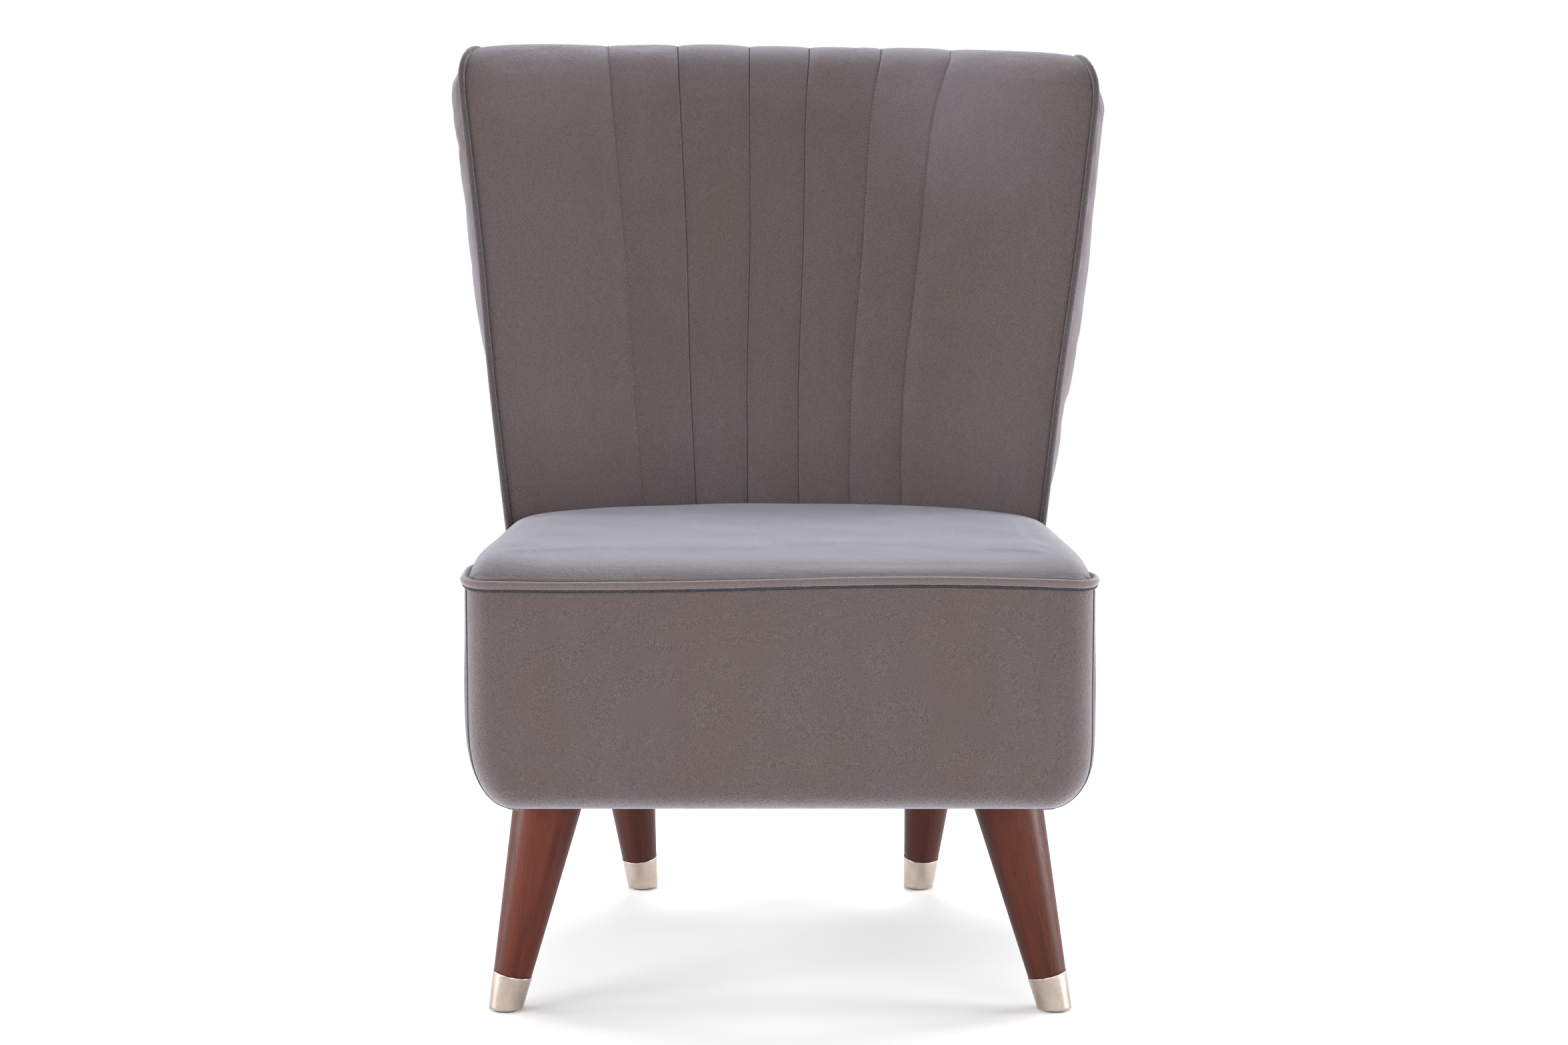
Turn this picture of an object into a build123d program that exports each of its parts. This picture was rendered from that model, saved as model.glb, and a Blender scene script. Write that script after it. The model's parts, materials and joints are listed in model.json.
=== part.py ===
from build123d import *
import os
from math import radians, sin, sqrt, tan

os.makedirs("parts", exist_ok=True)

# Driving dimensions, in millimetres. Depth is measured back from the front border.
overall_height = 919
seat_front_width = 605
seat_rear_width = 548
seat_side_length = 520
rear_bow = 80
base_underside = 211
seat_edge_height = 434
seat_crown = 28

# The fan-shaped back
back_foot_setback = 22
back_thickness = 101
inside_rake = 15
outside_rake = 12.7
back_foot_width = 558
back_top_width = 692
wing_reach_foot = 85
wing_reach_top = 92
wing_depth_foot = 110
wing_depth_top = 84
wing_tuck_foot = 14
wing_tuck_top = 24
facing_bulge_foot = 10
facing_bulge_top = 26
outside_seam_drop = 70

# Sewn channels: half-distances of the seams from the middle, at the seat and at the top
seam_foot_offsets = (27.5, 82, 137)
seam_top_offsets = (33, 112, 188)
channel_bulge = 7

# Cloth, piping and the room that soft pieces keep from each other
cloth = 1.8
soft_gap = 0.3
seam_gap = 0.4
piping_radius = 4
piping_inset = 1
base_roll = 48
front_edge_radius = 20
base_rear_corner = 60
flange_inset = 50
rear_seam_setback = 15
dust_cover_thickness = 1.2

# Base frame
frame_inset = 24
rail_thickness = 22
rail_lift = 11
rail_drop = 36
joint_gap = 0.1
rear_joint_setback = 12
block_lift = 2
block_height = 42
block_margin = 60

# Back frame
frame_setback = 38
post_width = 36
post_depth = 20
post_edge_margin = 77
post_tail_setback = 70
post_tail_length = 24
post_tail_drop = 26
back_frame_drop = 67
top_rail_height = 50
lower_rail_lift = 36
lower_rail_height = 60
board_thickness = 4
board_lift = 8

# Seat support
spring_count = 5
spring_pitch = 80
spring_wire = 3.4
spring_bends = 13
spring_sway = 22
spring_lead = 22
spring_bend_radius = 9
clip_width = 16
clip_length = 14
clip_wall = 1.2
clip_room = 0.4
felt_thickness = 3

# Legs: insets of their tops from the side and the end of the base, and how far the feet splay from them
front_leg_inset = (76.5, 70)
front_leg_splay = (44, -10)
rear_leg_inset = (101, 94)
rear_leg_splay = (-21, 31)
leg_top_radius = 34
leg_foot_radius = 15.7
ferrule_height = 37
ferrule_wall = 1.2
ferrule_proud = 0.6
glide_radius = 12
glide_height = 2
nail_radius = 1.4
nail_length = 20

# Fasteners
bolt_radius = 4
thread_clearance = 0.05
hole_clearance = 0.2
bolt_depth_in_leg = 45
bolt_end = 3
tee_nut_flange_radius = 11
tee_nut_flange = 2
tee_nut_barrel_radius = 5.2
tee_nut_barrel = 12
carriage_bolt_lifts = (63, 123)
carriage_head_radius = 9
carriage_head = 4
nut_radius = 7.5
nut_height = 7
screw_radius = 2.2
screw_length = 60
screw_head_radius = 4.5
screw_head = 3
screw_lift = 25

# Sizes that follow from the driving dimensions
back_height = overall_height - piping_radius
base_depth = seat_side_length + rear_bow
back_foot_depth = seat_side_length - back_foot_setback
rear_seam_depth = seat_side_length - rear_seam_setback
rear_joint_depth = seat_side_length - rear_joint_setback
post_tail_depth = seat_side_length - post_tail_setback
rail_bottom = base_underside + rail_lift
rail_top = seat_edge_height - rail_drop
block_bottom = base_underside + block_lift
screw_height = block_bottom + screw_lift
carriage_bolt_heights = [rail_bottom + lift for lift in carriage_bolt_lifts]
post_tail_top = rail_top - post_tail_drop
back_frame_top = back_height - back_frame_drop
lower_rail_bottom = seat_edge_height + lower_rail_lift
board_foot = seat_edge_height + board_lift
front_leg_top = (seat_front_width / 2 - front_leg_inset[0], front_leg_inset[1])
front_leg_foot = (front_leg_top[0] + front_leg_splay[0], front_leg_top[1] + front_leg_splay[1])
rear_leg_top = (seat_rear_width / 2 - rear_leg_inset[0], base_depth - rear_leg_inset[1])
rear_leg_foot = (rear_leg_top[0] + rear_leg_splay[0], rear_leg_top[1] + rear_leg_splay[1])
side_slope = (seat_front_width - seat_rear_width) / 2 / seat_side_length
border_top = seat_edge_height - piping_radius - soft_gap
back_cover_foot = border_top + seam_gap
leg_top_height = base_underside - soft_gap
felt_bottom = rail_top + spring_wire + clip_room + clip_wall + soft_gap
foam_bottom = felt_bottom + felt_thickness + soft_gap
padding_inset = cloth + soft_gap
block_top = block_bottom + block_height
seat_room = channel_bulge + soft_gap
far_away = 2 * overall_height
roll_angles = (-13, 0, 16, 35, 53, 70, 84)
roll_ease = 0.98
crown_steps = ((0, 0), (0.3, 5), (0.6, 18), (0.82, 42), (0.95, 80), (1, 125))


# Straight runs of the back, from the seat edge to the top
def run(foot, head, z):
    """Value at height z of a straight run between the seat edge and the top of the back."""
    return foot + (head - foot) * (z - seat_edge_height) / (back_height - seat_edge_height)


def inside_middle(z):
    """Depth of the inside back at the middle."""
    return back_foot_depth + (z - seat_edge_height) * tan(radians(inside_rake))


def outside_middle(z):
    """Depth of the outside back at the middle."""
    return back_foot_depth + back_thickness + (z - seat_edge_height) * tan(radians(outside_rake))


def wing_half(z):
    """Distance of the back piping from the middle."""
    return run(back_foot_width / 2, back_top_width / 2, z)


def wing_front(z):
    """Depth of the wing's front edge."""
    return inside_middle(z) - run(wing_reach_foot, wing_reach_top, z)


def wing_rear(z):
    """Depth of the wing's rear edge."""
    return wing_front(z) + run(wing_depth_foot, wing_depth_top, z)


def roll_circle(front, rear, inset):
    """Radius, height and depth of the round top that is tangent to a front and a rear face."""
    front_slope = front(1) - front(0)
    rear_slope = rear(1) - rear(0)
    stretch = sqrt(1 + front_slope**2) + sqrt(1 + rear_slope**2)
    top = back_height - inset
    thickness = rear(top) - front(top) - inset * stretch
    radius = thickness / (stretch - front_slope + rear_slope)
    depth = front(top - radius) + (inset + radius) * sqrt(1 + front_slope**2)
    return radius, top - radius, depth


def rolled(z, front, rear, inset):
    """Front and rear depth at height z of two faces that close over a round top."""
    radius, centre_height, centre_depth = roll_circle(front, rear, inset)
    front_stretch = sqrt(1 + (front(1) - front(0)) ** 2)
    rear_stretch = sqrt(1 + (rear(1) - rear(0)) ** 2)
    half_chord = sqrt(max(radius**2 - (z - centre_height) ** 2, 0))
    front_depth = front(z) + inset * front_stretch
    if z > centre_height + radius * (front(1) - front(0)) / front_stretch:
        front_depth = centre_depth - half_chord
    rear_depth = rear(z) - inset * rear_stretch
    if z > centre_height - radius * (rear(1) - rear(0)) / rear_stretch:
        rear_depth = centre_depth + half_chord
    return front_depth, rear_depth


mid_roll_radius, _, mid_roll_depth = roll_circle(inside_middle, outside_middle, 0)
rear_reach = mid_roll_depth + mid_roll_radius
front_reach = piping_radius - piping_inset
depth_middle = (rear_reach - front_reach) / 2


def at(across, depth, *height):
    """Point of the shared frame from a distance across, a depth and an optional height."""
    return (across, depth - depth_middle, *height)


def save(piece, name):
    """Label a finished piece and write it as its own file."""
    piece.label = name
    export_step(piece, f"parts/{name}.step")


# The base: plan, boxed form and cord-edged panels
def base_half_width(depth):
    """Half the width across the side borders."""
    return seat_front_width / 2 - side_slope * depth


def base_plan(z, inset, front_corner=0):
    """Plan of the base at height z, drawn in by an inset: straight front and sides, curved rear."""
    with BuildSketch(Plane.XY.offset(z)) as plan:
        with BuildLine():
            rear_right = at(seat_rear_width / 2, seat_side_length)
            rear_left = at(-seat_rear_width / 2, seat_side_length)
            front_right = at(seat_front_width / 2, 0)
            front_left = at(-seat_front_width / 2, 0)
            Polyline(rear_left, front_left, front_right, rear_right)
            ThreePointArc(rear_right, at(0, base_depth), rear_left)
        make_face()
        fillet(plan.vertices().group_by(Axis.Y)[-1], base_rear_corner)
        if inset:
            offset(amount=-inset, kind=Kind.INTERSECTION)
        if front_corner:
            fillet(plan.vertices().group_by(Axis.Y)[0], front_corner)
    return plan.sketch


def base_profile(depth, inset, top):
    """Upright slice across the base, with its lower corners rolled under."""
    height = top - base_underside - inset
    with BuildSketch(Plane.XZ.offset(depth_middle - depth)) as profile:
        with Locations((0, top - height / 2)):
            Rectangle(2 * (base_half_width(depth) - inset), height)
        fillet(profile.vertices().group_by(Axis.Y)[0], base_roll - inset)
    return profile.sketch


def base_form(inset, top):
    """The boxed base drawn in by an inset: tapered sides, rolled lower edges, rounded front edges."""
    with BuildPart() as form:
        loft([base_profile(d, inset, top) for d in (inset, seat_side_length, base_depth)], ruled=True)
        extrude(base_plan(0, inset), amount=far_away, mode=Mode.INTERSECT)
        front_edges = form.faces().sort_by(Axis.Y)[0].edges().sort_by(Axis.Z)[:-1]
        fillet(front_edges, front_edge_radius - inset)
    return form.part


def base_opening(z, room):
    """Plan of the opening under the seat that the dust cover closes."""
    with BuildSketch(Plane.XY.offset(z)) as opening:
        add(base_plan(z, flange_inset))
        near = front_edge_radius
        far = 2 * flange_inset
        near_half = base_half_width(near) - flange_inset
        far_half = base_half_width(far) - flange_inset
        with BuildLine():
            Polyline(
                at(-near_half, near),
                at(near_half, near),
                at(far_half, far),
                at(-far_half, far),
                close=True,
            )
        make_face()
        if room:
            offset(amount=-room, kind=Kind.INTERSECTION)
    return opening.sketch


def cord(points, bend_radius, radius):
    """Round cord along straight runs joined by tangent bends."""
    with BuildPart() as tube:
        with BuildLine() as route:
            FilletPolyline(*points, radius=bend_radius)
        with BuildSketch(Plane(route.line @ 0, z_dir=route.line % 0)):
            Circle(radius)
        sweep(path=route.line)
    return tube.part


with BuildPart() as borders:
    add(base_form(0, border_top))
    add(base_form(cloth, border_top + base_roll), mode=Mode.SUBTRACT)
    extrude(base_opening(base_underside - cloth, 0), amount=4 * cloth, mode=Mode.SUBTRACT)
    for seam_depth in (front_edge_radius, rear_seam_depth):
        with Locations(at(0, seam_depth, overall_height / 2)):
            Box(far_away, seam_gap, overall_height, mode=Mode.SUBTRACT)

border_panels = borders.solids().sort_by(Axis.Y)
side_panels = ShapeList(border_panels[1:-1]).sort_by(Axis.X)
save(border_panels[0], "front_border")
save(side_panels[0], "side_border_left")
save(side_panels[-1], "side_border_right")
save(border_panels[-1], "rear_border")

# Seat piping, round the front of the seat between the wings
piping_end_depth = wing_front(seat_edge_height) - 3 * piping_radius
piping_front_half = base_half_width(piping_inset) - piping_inset
piping_rear_half = base_half_width(piping_end_depth) - piping_inset
seat_piping = cord(
    [
        at(-piping_rear_half, piping_end_depth, seat_edge_height),
        at(-piping_front_half, piping_inset, seat_edge_height),
        at(piping_front_half, piping_inset, seat_edge_height),
        at(piping_rear_half, piping_end_depth, seat_edge_height),
    ],
    front_edge_radius,
    piping_radius,
)
save(seat_piping, "seat_piping")


# Seat: a crowned form that stays clear of the raked, channelled back
def seat_slice(z, inset):
    """Plan of the seat padding at height z: straight front, tapered sides, rear parallel to the back."""
    rear_depth = wing_front(z) - piping_radius - seat_room - inset
    rear_half = base_half_width(rear_depth) - inset
    front_half = base_half_width(inset) - inset
    corner = front_edge_radius + inset / 4
    with BuildSketch(Plane.XY.offset(z)) as plan:
        with BuildLine():
            Polyline(
                at(-rear_half, rear_depth),
                at(-front_half, inset),
                at(front_half, inset),
                at(rear_half, rear_depth),
            )
            ThreePointArc(
                at(rear_half, rear_depth),
                at(0, inside_middle(z) - seat_room - inset),
                at(-rear_half, rear_depth),
            )
        make_face()
        fillet(plan.vertices().group_by(Axis.Y)[0], corner)
    return plan.sketch


def crown(draw_in):
    """Slices of the crowned seat top, from the piping up, drawn in on every side."""
    edge_inset = piping_radius + piping_inset + soft_gap + draw_in
    return [
        seat_slice(seat_edge_height + share * (seat_crown - draw_in), edge_inset + inset)
        for share, inset in crown_steps
    ]


with BuildPart() as seat_cover:
    loft(crown(0), ruled=True)
    loft(crown(cloth), ruled=True, mode=Mode.SUBTRACT)
save(seat_cover.part, "seat_cover")

with BuildPart() as seat_foam:
    foam_sides = [seat_slice(z, padding_inset) for z in (foam_bottom, border_top - piping_radius)]
    loft(foam_sides + crown(padding_inset), ruled=True)
save(seat_foam.part, "seat_foam")


# Back: level slices of the padded form
def inside_arc(half, reach, middle):
    """Radius and centre depth of the concave arc through the wings and the middle."""
    radius = (half**2 + reach**2) / (2 * reach)
    return radius, middle - radius


def wing_corners(z, inset):
    """Front and rear corner of a wing at height z, each as (across, depth)."""
    front, rear = rolled(z, wing_front, wing_rear, inset)
    roll_share = (rear - front) / (wing_rear(z) - wing_front(z))
    middle = wing_half(z) - inset - run(wing_tuck_foot, wing_tuck_top, z) / 2
    tuck = run(wing_tuck_foot, wing_tuck_top, z) / 2 * roll_share
    return (middle + tuck, front), (middle - tuck, rear), roll_share


def back_slice(z, inset):
    """Level slice of the padded back: channels inside, bulged facings, round outside."""
    middle_front, middle_rear = rolled(z, inside_middle, outside_middle, inset)
    (front_half, front), (rear_half, rear), roll_share = wing_corners(z, inset)
    radius, centre = inside_arc(front_half, middle_front - front, middle_front)
    seams = [run(foot, top, z) for foot, top in zip(seam_foot_offsets, seam_top_offsets)]
    right = seams + [front_half]
    stations = [-x for x in reversed(right)] + right
    swell = channel_bulge * (1 + roll_share) / 2
    bulge = run(facing_bulge_foot, facing_bulge_top, z) * (1 + 3 * roll_share) / 4
    facing_half = (front_half + rear_half) / 2 + bulge
    facing_depth = (front + rear) / 2
    with BuildSketch(Plane.XY.offset(z)) as plan:
        with BuildLine():
            for left_x, right_x in zip(stations, stations[1:]):
                mid_x = (left_x + right_x) / 2
                ThreePointArc(
                    at(left_x, centre + sqrt(radius**2 - left_x**2)),
                    at(mid_x, centre + sqrt(radius**2 - mid_x**2) - swell),
                    at(right_x, centre + sqrt(radius**2 - right_x**2)),
                )
            ThreePointArc(at(front_half, front), at(facing_half, facing_depth), at(rear_half, rear))
            ThreePointArc(at(rear_half, rear), at(0, middle_rear), at(-rear_half, rear))
            ThreePointArc(at(-rear_half, rear), at(-facing_half, facing_depth), at(-front_half, front))
        make_face()
    return plan.sketch


def back_levels(inset, foot):
    """Heights of the back's slices: its foot, then steps over its round top."""
    radius, centre_height, _ = roll_circle(inside_middle, outside_middle, inset)
    return [foot] + [centre_height + radius * sin(radians(angle)) for angle in roll_angles]


def back_form(inset, foot):
    """The padded back drawn in by an inset, from a foot height over its round top."""
    with BuildPart() as form:
        loft([back_slice(z, inset) for z in back_levels(inset, foot)], ruled=True)
    return form.part


def facing_zone(side):
    """Space outside the wing's corners, where the side facing lies."""
    slices = []
    for z in back_levels(0, back_cover_foot):
        (front_half, front), (rear_half, rear), _ = wing_corners(z, 0)
        with BuildSketch(Plane.XY.offset(z)) as plan:
            with BuildLine():
                Polyline(
                    at(side * front_half, front),
                    at(side * rear_half, rear),
                    at(side * back_top_width, rear),
                    at(side * back_top_width, front),
                    close=True,
                )
            make_face()
        slices.append(plan.sketch)
    with BuildPart() as zone:
        loft(slices, ruled=True)
    return zone.part


def behind(z, across, setback):
    """Depth of a point that lies a setback behind the plain inside back."""
    radius, centre = inside_arc(wing_half(z), inside_middle(z) - wing_front(z), inside_middle(z))
    return centre + sqrt((radius + setback) ** 2 - across**2)


def band(z, near, far, left, right):
    """Level slice between two setbacks, parallel to the inside back."""
    mid = (left + right) / 2
    with BuildSketch(Plane.XY.offset(z)) as plan:
        with BuildLine():
            ThreePointArc(
                at(left, behind(z, left, near)),
                at(mid, behind(z, mid, near)),
                at(right, behind(z, right, near)),
            )
            Line(at(right, behind(z, right, near)), at(right, behind(z, right, far)))
            ThreePointArc(
                at(right, behind(z, right, far)),
                at(mid, behind(z, mid, far)),
                at(left, behind(z, left, far)),
            )
            Line(at(left, behind(z, left, far)), at(left, behind(z, left, near)))
        make_face()
    return plan.sketch


def back_zone(near, far, foot, top):
    """Space between two setbacks behind the inside back, wider than the chair."""
    reach = back_top_width / 2 + 2 * facing_bulge_top
    with BuildPart() as zone:
        loft([band(z, near, far, -reach, reach) for z in (foot, top)], ruled=True)
    return zone.part


def back_piping_points(side):
    """Corner points of a wing's piping: up the front edge, over the top, down the rear edge."""
    foot = back_cover_foot + piping_radius / 2
    tuck_foot = run(wing_tuck_foot, wing_tuck_top, foot)
    return [
        at(side * wing_half(foot), wing_front(foot), foot),
        at(side * wing_half(back_height), wing_front(back_height), back_height),
        at(side * (wing_half(back_height) - wing_tuck_top), wing_rear(back_height), back_height),
        at(side * (wing_half(foot) - tuck_foot), wing_rear(foot), foot),
    ]


wing_roll_radius = roll_ease * roll_circle(wing_front, wing_rear, 0)[0]
sides = ((-1, "left"), (1, "right"))
for side, name in sides:
    save(cord(back_piping_points(side), wing_roll_radius, piping_radius), f"back_piping_{name}")


def piping_room(side):
    """Space that a wing's piping and its seam take up."""
    return cord(back_piping_points(side), wing_roll_radius, piping_radius + soft_gap)


with BuildPart() as back_skin:
    add(back_form(0, back_cover_foot))
    add(back_form(cloth, back_cover_foot - cloth), mode=Mode.SUBTRACT)
    for side, name in sides:
        add(piping_room(side), mode=Mode.SUBTRACT)

for side, name in sides:
    with BuildPart() as facing:
        add(back_skin.part)
        add(facing_zone(side), mode=Mode.INTERSECT)
    save(facing.part, f"side_facing_{name}")


def outside_zone(top):
    """Space behind the middle of the back, up to the seam of the outside back."""
    return back_zone(back_thickness / 2, 3 * back_thickness, back_cover_foot - cloth, top)


outside_seam_height = back_height - outside_seam_drop
with BuildPart() as inside_back_cover:
    add(back_skin.part)
    for side, name in sides:
        add(facing_zone(side), mode=Mode.SUBTRACT)
    add(outside_zone(outside_seam_height + seam_gap), mode=Mode.SUBTRACT)
save(inside_back_cover.solids().sort_by(SortBy.VOLUME)[-1], "inside_back_cover")

with BuildPart() as outside_back_cover:
    add(back_skin.part)
    for side, name in sides:
        add(facing_zone(side), mode=Mode.SUBTRACT)
    add(outside_zone(outside_seam_height), mode=Mode.INTERSECT)
save(outside_back_cover.part, "outside_back_cover")


# Back frame: uprights that stand on the rear corner blocks, curved rails between them, a bent board in front
rail_inner_inset = frame_inset + rail_thickness
side_stretch = sqrt(1 + side_slope**2)
frame_levels = [board_foot + step * (back_frame_top - board_foot) / 3 for step in range(4)]


def side_rail_inner(depth):
    """Distance of a side rail's inner face from the middle."""
    return base_half_width(depth) - rail_inner_inset * side_stretch


def post_middle(z):
    """Distance of an upright's middle from the chair's middle."""
    return wing_half(z) - post_edge_margin


def post_tail(z, side, room):
    """Level slice of an upright's lower end, flush with the side rail."""
    near = post_tail_depth - room
    far = post_tail_depth + post_tail_length + room
    near_outer = side_rail_inner(near) - joint_gap + room
    far_outer = side_rail_inner(far) - joint_gap + room
    width = post_width + 2 * room
    corners = [
        at(side * (near_outer - width), near),
        at(side * near_outer, near),
        at(side * far_outer, far),
        at(side * (far_outer - width), far),
    ]
    if side < 0:
        corners = [corners[1], corners[0], corners[3], corners[2]]
    with BuildSketch(Plane.XY.offset(z)) as plan:
        with BuildLine():
            Polyline(*corners, close=True)
        make_face()
    return plan.sketch


def upright(side, room):
    """Upright of the back frame, with an optional margin of room all round."""
    slices = [post_tail(z, side, room) for z in (block_top + joint_gap, post_tail_top)]
    for z in frame_levels[:-1] + [frame_levels[-1] + room]:
        ends = sorted(side * (post_middle(z) + edge * (post_width / 2 + room)) for edge in (-1, 1))
        slices.append(band(z, frame_setback - room, frame_setback + post_depth + room, *ends))
    with BuildPart() as post:
        loft(slices, ruled=True)
    return post.part


def back_rail(bottom, top, room):
    """Curved rail between the uprights."""
    slices = []
    for z in (bottom - room, top + room):
        half = post_middle(z) - post_width / 2 - joint_gap
        slices.append(band(z, frame_setback - room, frame_setback + post_depth + room, -half, half))
    with BuildPart() as rail:
        loft(slices, ruled=True)
    return rail.part


def bent_board(room):
    """Bent board on the front of the back frame."""
    far = frame_setback - joint_gap
    slices = []
    for z in [frame_levels[0] - room] + frame_levels[1:-1] + [frame_levels[-1] + room]:
        half = post_middle(z) + post_width / 2 + room
        slices.append(band(z, far - board_thickness - room, far + room, -half, half))
    with BuildPart() as board:
        loft(slices, ruled=True)
    return board.part


lower_rail_span = (lower_rail_bottom, lower_rail_bottom + lower_rail_height)
top_rail_span = (back_frame_top - top_rail_height, back_frame_top)
save(bent_board(0), "back_board")
save(back_rail(*lower_rail_span, 0), "back_lower_rail")
save(back_rail(*top_rail_span, 0), "back_top_rail")

# Carriage bolts that clamp the uprights to the side rails
carriage_depth = post_tail_depth + post_tail_length / 2
carriage_grip = rail_thickness + (joint_gap + post_width) / side_stretch
carriage_shank = carriage_grip + nut_height + bolt_end


def side_rail_plane(side, inset, depth, z):
    """Plane at an inset from the side border, parallel to the side rail and facing the middle."""
    across = base_half_width(depth) - inset * side_stretch
    return Plane(at(side * across, depth, z), z_dir=(-side, -side_slope, 0))


def rod(plane, radius, length):
    """Plain round rod from a plane, along its normal."""
    with BuildPart(plane) as bar:
        Cylinder(radius, length, align=(Align.CENTER, Align.CENTER, Align.MIN))
    return bar.part


def carriage_planes(side):
    """Planes of one side's carriage bolts, on the side rail's outer face."""
    return [side_rail_plane(side, frame_inset, carriage_depth, z) for z in carriage_bolt_heights]


def carriage_holes(side):
    """Holes for one side's carriage bolts."""
    return [rod(plane, bolt_radius + hole_clearance, carriage_shank) for plane in carriage_planes(side)]


def carriage_heads(side, room):
    """Heads of one side's carriage bolts, outside the side rail."""
    radius = carriage_head_radius + room
    height = carriage_head + room
    return [rod(plane.offset(-height), radius, height) for plane in carriage_planes(side)]


with BuildPart() as carriage_bolts:
    for side, name in sides:
        add([rod(plane, bolt_radius, carriage_shank) for plane in carriage_planes(side)])
        add(carriage_heads(side, 0))
save(carriage_bolts.part, "carriage_bolts")

with BuildPart() as carriage_nuts:
    for side, name in sides:
        for plane in carriage_planes(side):
            with BuildSketch(plane.offset(carriage_grip + joint_gap)):
                RegularPolygon(nut_radius, 6)
                Circle(bolt_radius + thread_clearance, mode=Mode.SUBTRACT)
            extrude(amount=nut_height)
save(carriage_nuts.part, "carriage_nuts")

for side, name in sides:
    with BuildPart() as post:
        add(upright(side, 0))
        add(carriage_holes(side), mode=Mode.SUBTRACT)
    save(post.part, f"back_upright_{name}")


# Back padding
foam_setback = frame_setback - joint_gap - board_thickness - soft_gap


def back_padding(near, far):
    """Padding of the back between two setbacks, kept inside the borders where it enters the base."""
    with BuildPart() as padding:
        add(back_form(padding_inset, foam_bottom))
        add(back_zone(near, far, foam_bottom - padding_inset, overall_height), mode=Mode.INTERSECT)
        with BuildSketch(Plane.XY.offset(foam_bottom - padding_inset)):
            Rectangle(far_away, far_away)
            add(base_plan(0, padding_inset), mode=Mode.SUBTRACT)
        extrude(amount=back_cover_foot - foam_bottom + padding_inset, mode=Mode.SUBTRACT)
        for side, name in sides:
            add(piping_room(side), mode=Mode.SUBTRACT)
            add(upright(side, soft_gap), mode=Mode.SUBTRACT)
    return padding.part


save(back_padding(-2 * channel_bulge, foam_setback), "back_foam")

with BuildPart() as back_wadding:
    add(back_padding(foam_setback + soft_gap, 2 * back_thickness))
    add(bent_board(soft_gap), mode=Mode.SUBTRACT)
    add(back_rail(*lower_rail_span, soft_gap), mode=Mode.SUBTRACT)
    add(back_rail(*top_rail_span, soft_gap), mode=Mode.SUBTRACT)
save(back_wadding.part, "back_wadding")


# Base frame: rails round the seat, butted at the corners, with blocks that take the legs
def leg_places(place):
    """The same place on the left and the right of the chair."""
    return [at(side * place[0], place[1]) for side, name in sides]


leg_tops = leg_places(front_leg_top) + leg_places(rear_leg_top)
screw_inset = frame_inset + soft_gap
front_screw_half = front_leg_top[0] - block_margin / 2
side_screw_depths = (front_leg_top[1] + 2 * block_margin / 3, rear_leg_top[1] - 2 * block_margin / 3)


def screw_planes():
    """Planes of the frame screws, just inside the rails' outer faces."""
    planes = []
    for side, name in sides:
        front_place = at(side * front_screw_half, screw_inset, screw_height)
        planes.append(Plane(front_place, z_dir=(0, 1, 0)))
        planes += [side_rail_plane(side, screw_inset, depth, screw_height) for depth in side_screw_depths]
    return planes


def screw_holes():
    """Pilot holes of the frame screws."""
    return [rod(plane, screw_radius + thread_clearance, screw_length) for plane in screw_planes()]


with BuildPart() as frame_screws:
    for plane in screw_planes():
        add(rod(plane, screw_radius, screw_length))
        add(rod(plane, screw_head_radius, screw_head))
save(frame_screws.part, "frame_screws")

with BuildPart() as rails:
    extrude(base_plan(rail_bottom, frame_inset), amount=rail_top - rail_bottom)
    extrude(base_plan(rail_bottom, rail_inner_inset), amount=rail_top - rail_bottom, mode=Mode.SUBTRACT)
    for joint_depth in (rail_inner_inset, rear_joint_depth):
        with Locations(at(0, joint_depth, overall_height / 2)):
            Box(far_away, joint_gap, overall_height, mode=Mode.SUBTRACT)
    for side, name in sides:
        add(carriage_holes(side), mode=Mode.SUBTRACT)
    add(screw_holes(), mode=Mode.SUBTRACT)
    for plane in screw_planes():
        head_room = rod(plane.offset(-screw_head), screw_head_radius + thread_clearance, 2 * screw_head)
        add(head_room, mode=Mode.SUBTRACT)

rail_solids = rails.solids().sort_by(Axis.Y)
side_rails = ShapeList(rail_solids[1:-1]).sort_by(Axis.X)
save(rail_solids[0], "front_rail")
save(side_rails[0], "side_rail_left")
save(side_rails[-1], "side_rail_right")
save(rail_solids[-1], "rear_rail")


def corner_block(side, leg_top, towards_rear):
    """Block in a corner of the frame, bored for a leg's bolt and tee nut."""
    inner = leg_top[0] - block_margin
    edge = leg_top[1] - towards_rear * block_margin
    far_edge = towards_rear * far_away
    with BuildPart() as block:
        extrude(base_plan(block_bottom, rail_inner_inset + joint_gap), amount=block_height)
        with BuildSketch(Plane.XY.offset(block_bottom)):
            with BuildLine():
                Polyline(
                    at(side * inner, edge),
                    at(side * far_away, edge),
                    at(side * far_away, far_edge),
                    at(side * inner, far_edge),
                    close=True,
                )
            make_face()
        extrude(amount=block_height, mode=Mode.INTERSECT)
        with Locations(at(side * leg_top[0], leg_top[1], block_top)):
            CounterBoreHole(
                bolt_radius + hole_clearance,
                tee_nut_barrel_radius + thread_clearance,
                tee_nut_barrel + thread_clearance,
            )
        add(screw_holes(), mode=Mode.SUBTRACT)
    return block.part


for side, name in sides:
    save(corner_block(side, front_leg_top, -1), f"corner_block_front_{name}")
    save(corner_block(side, rear_leg_top, 1), f"corner_block_rear_{name}")

with BuildPart() as base_wadding:
    add(base_form(padding_inset, felt_bottom - soft_gap))
    extrude(base_plan(0, frame_inset - soft_gap), amount=far_away, mode=Mode.SUBTRACT)
    for side, name in sides:
        add(carriage_heads(side, soft_gap), mode=Mode.SUBTRACT)
save(base_wadding.part, "base_wadding")

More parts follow.
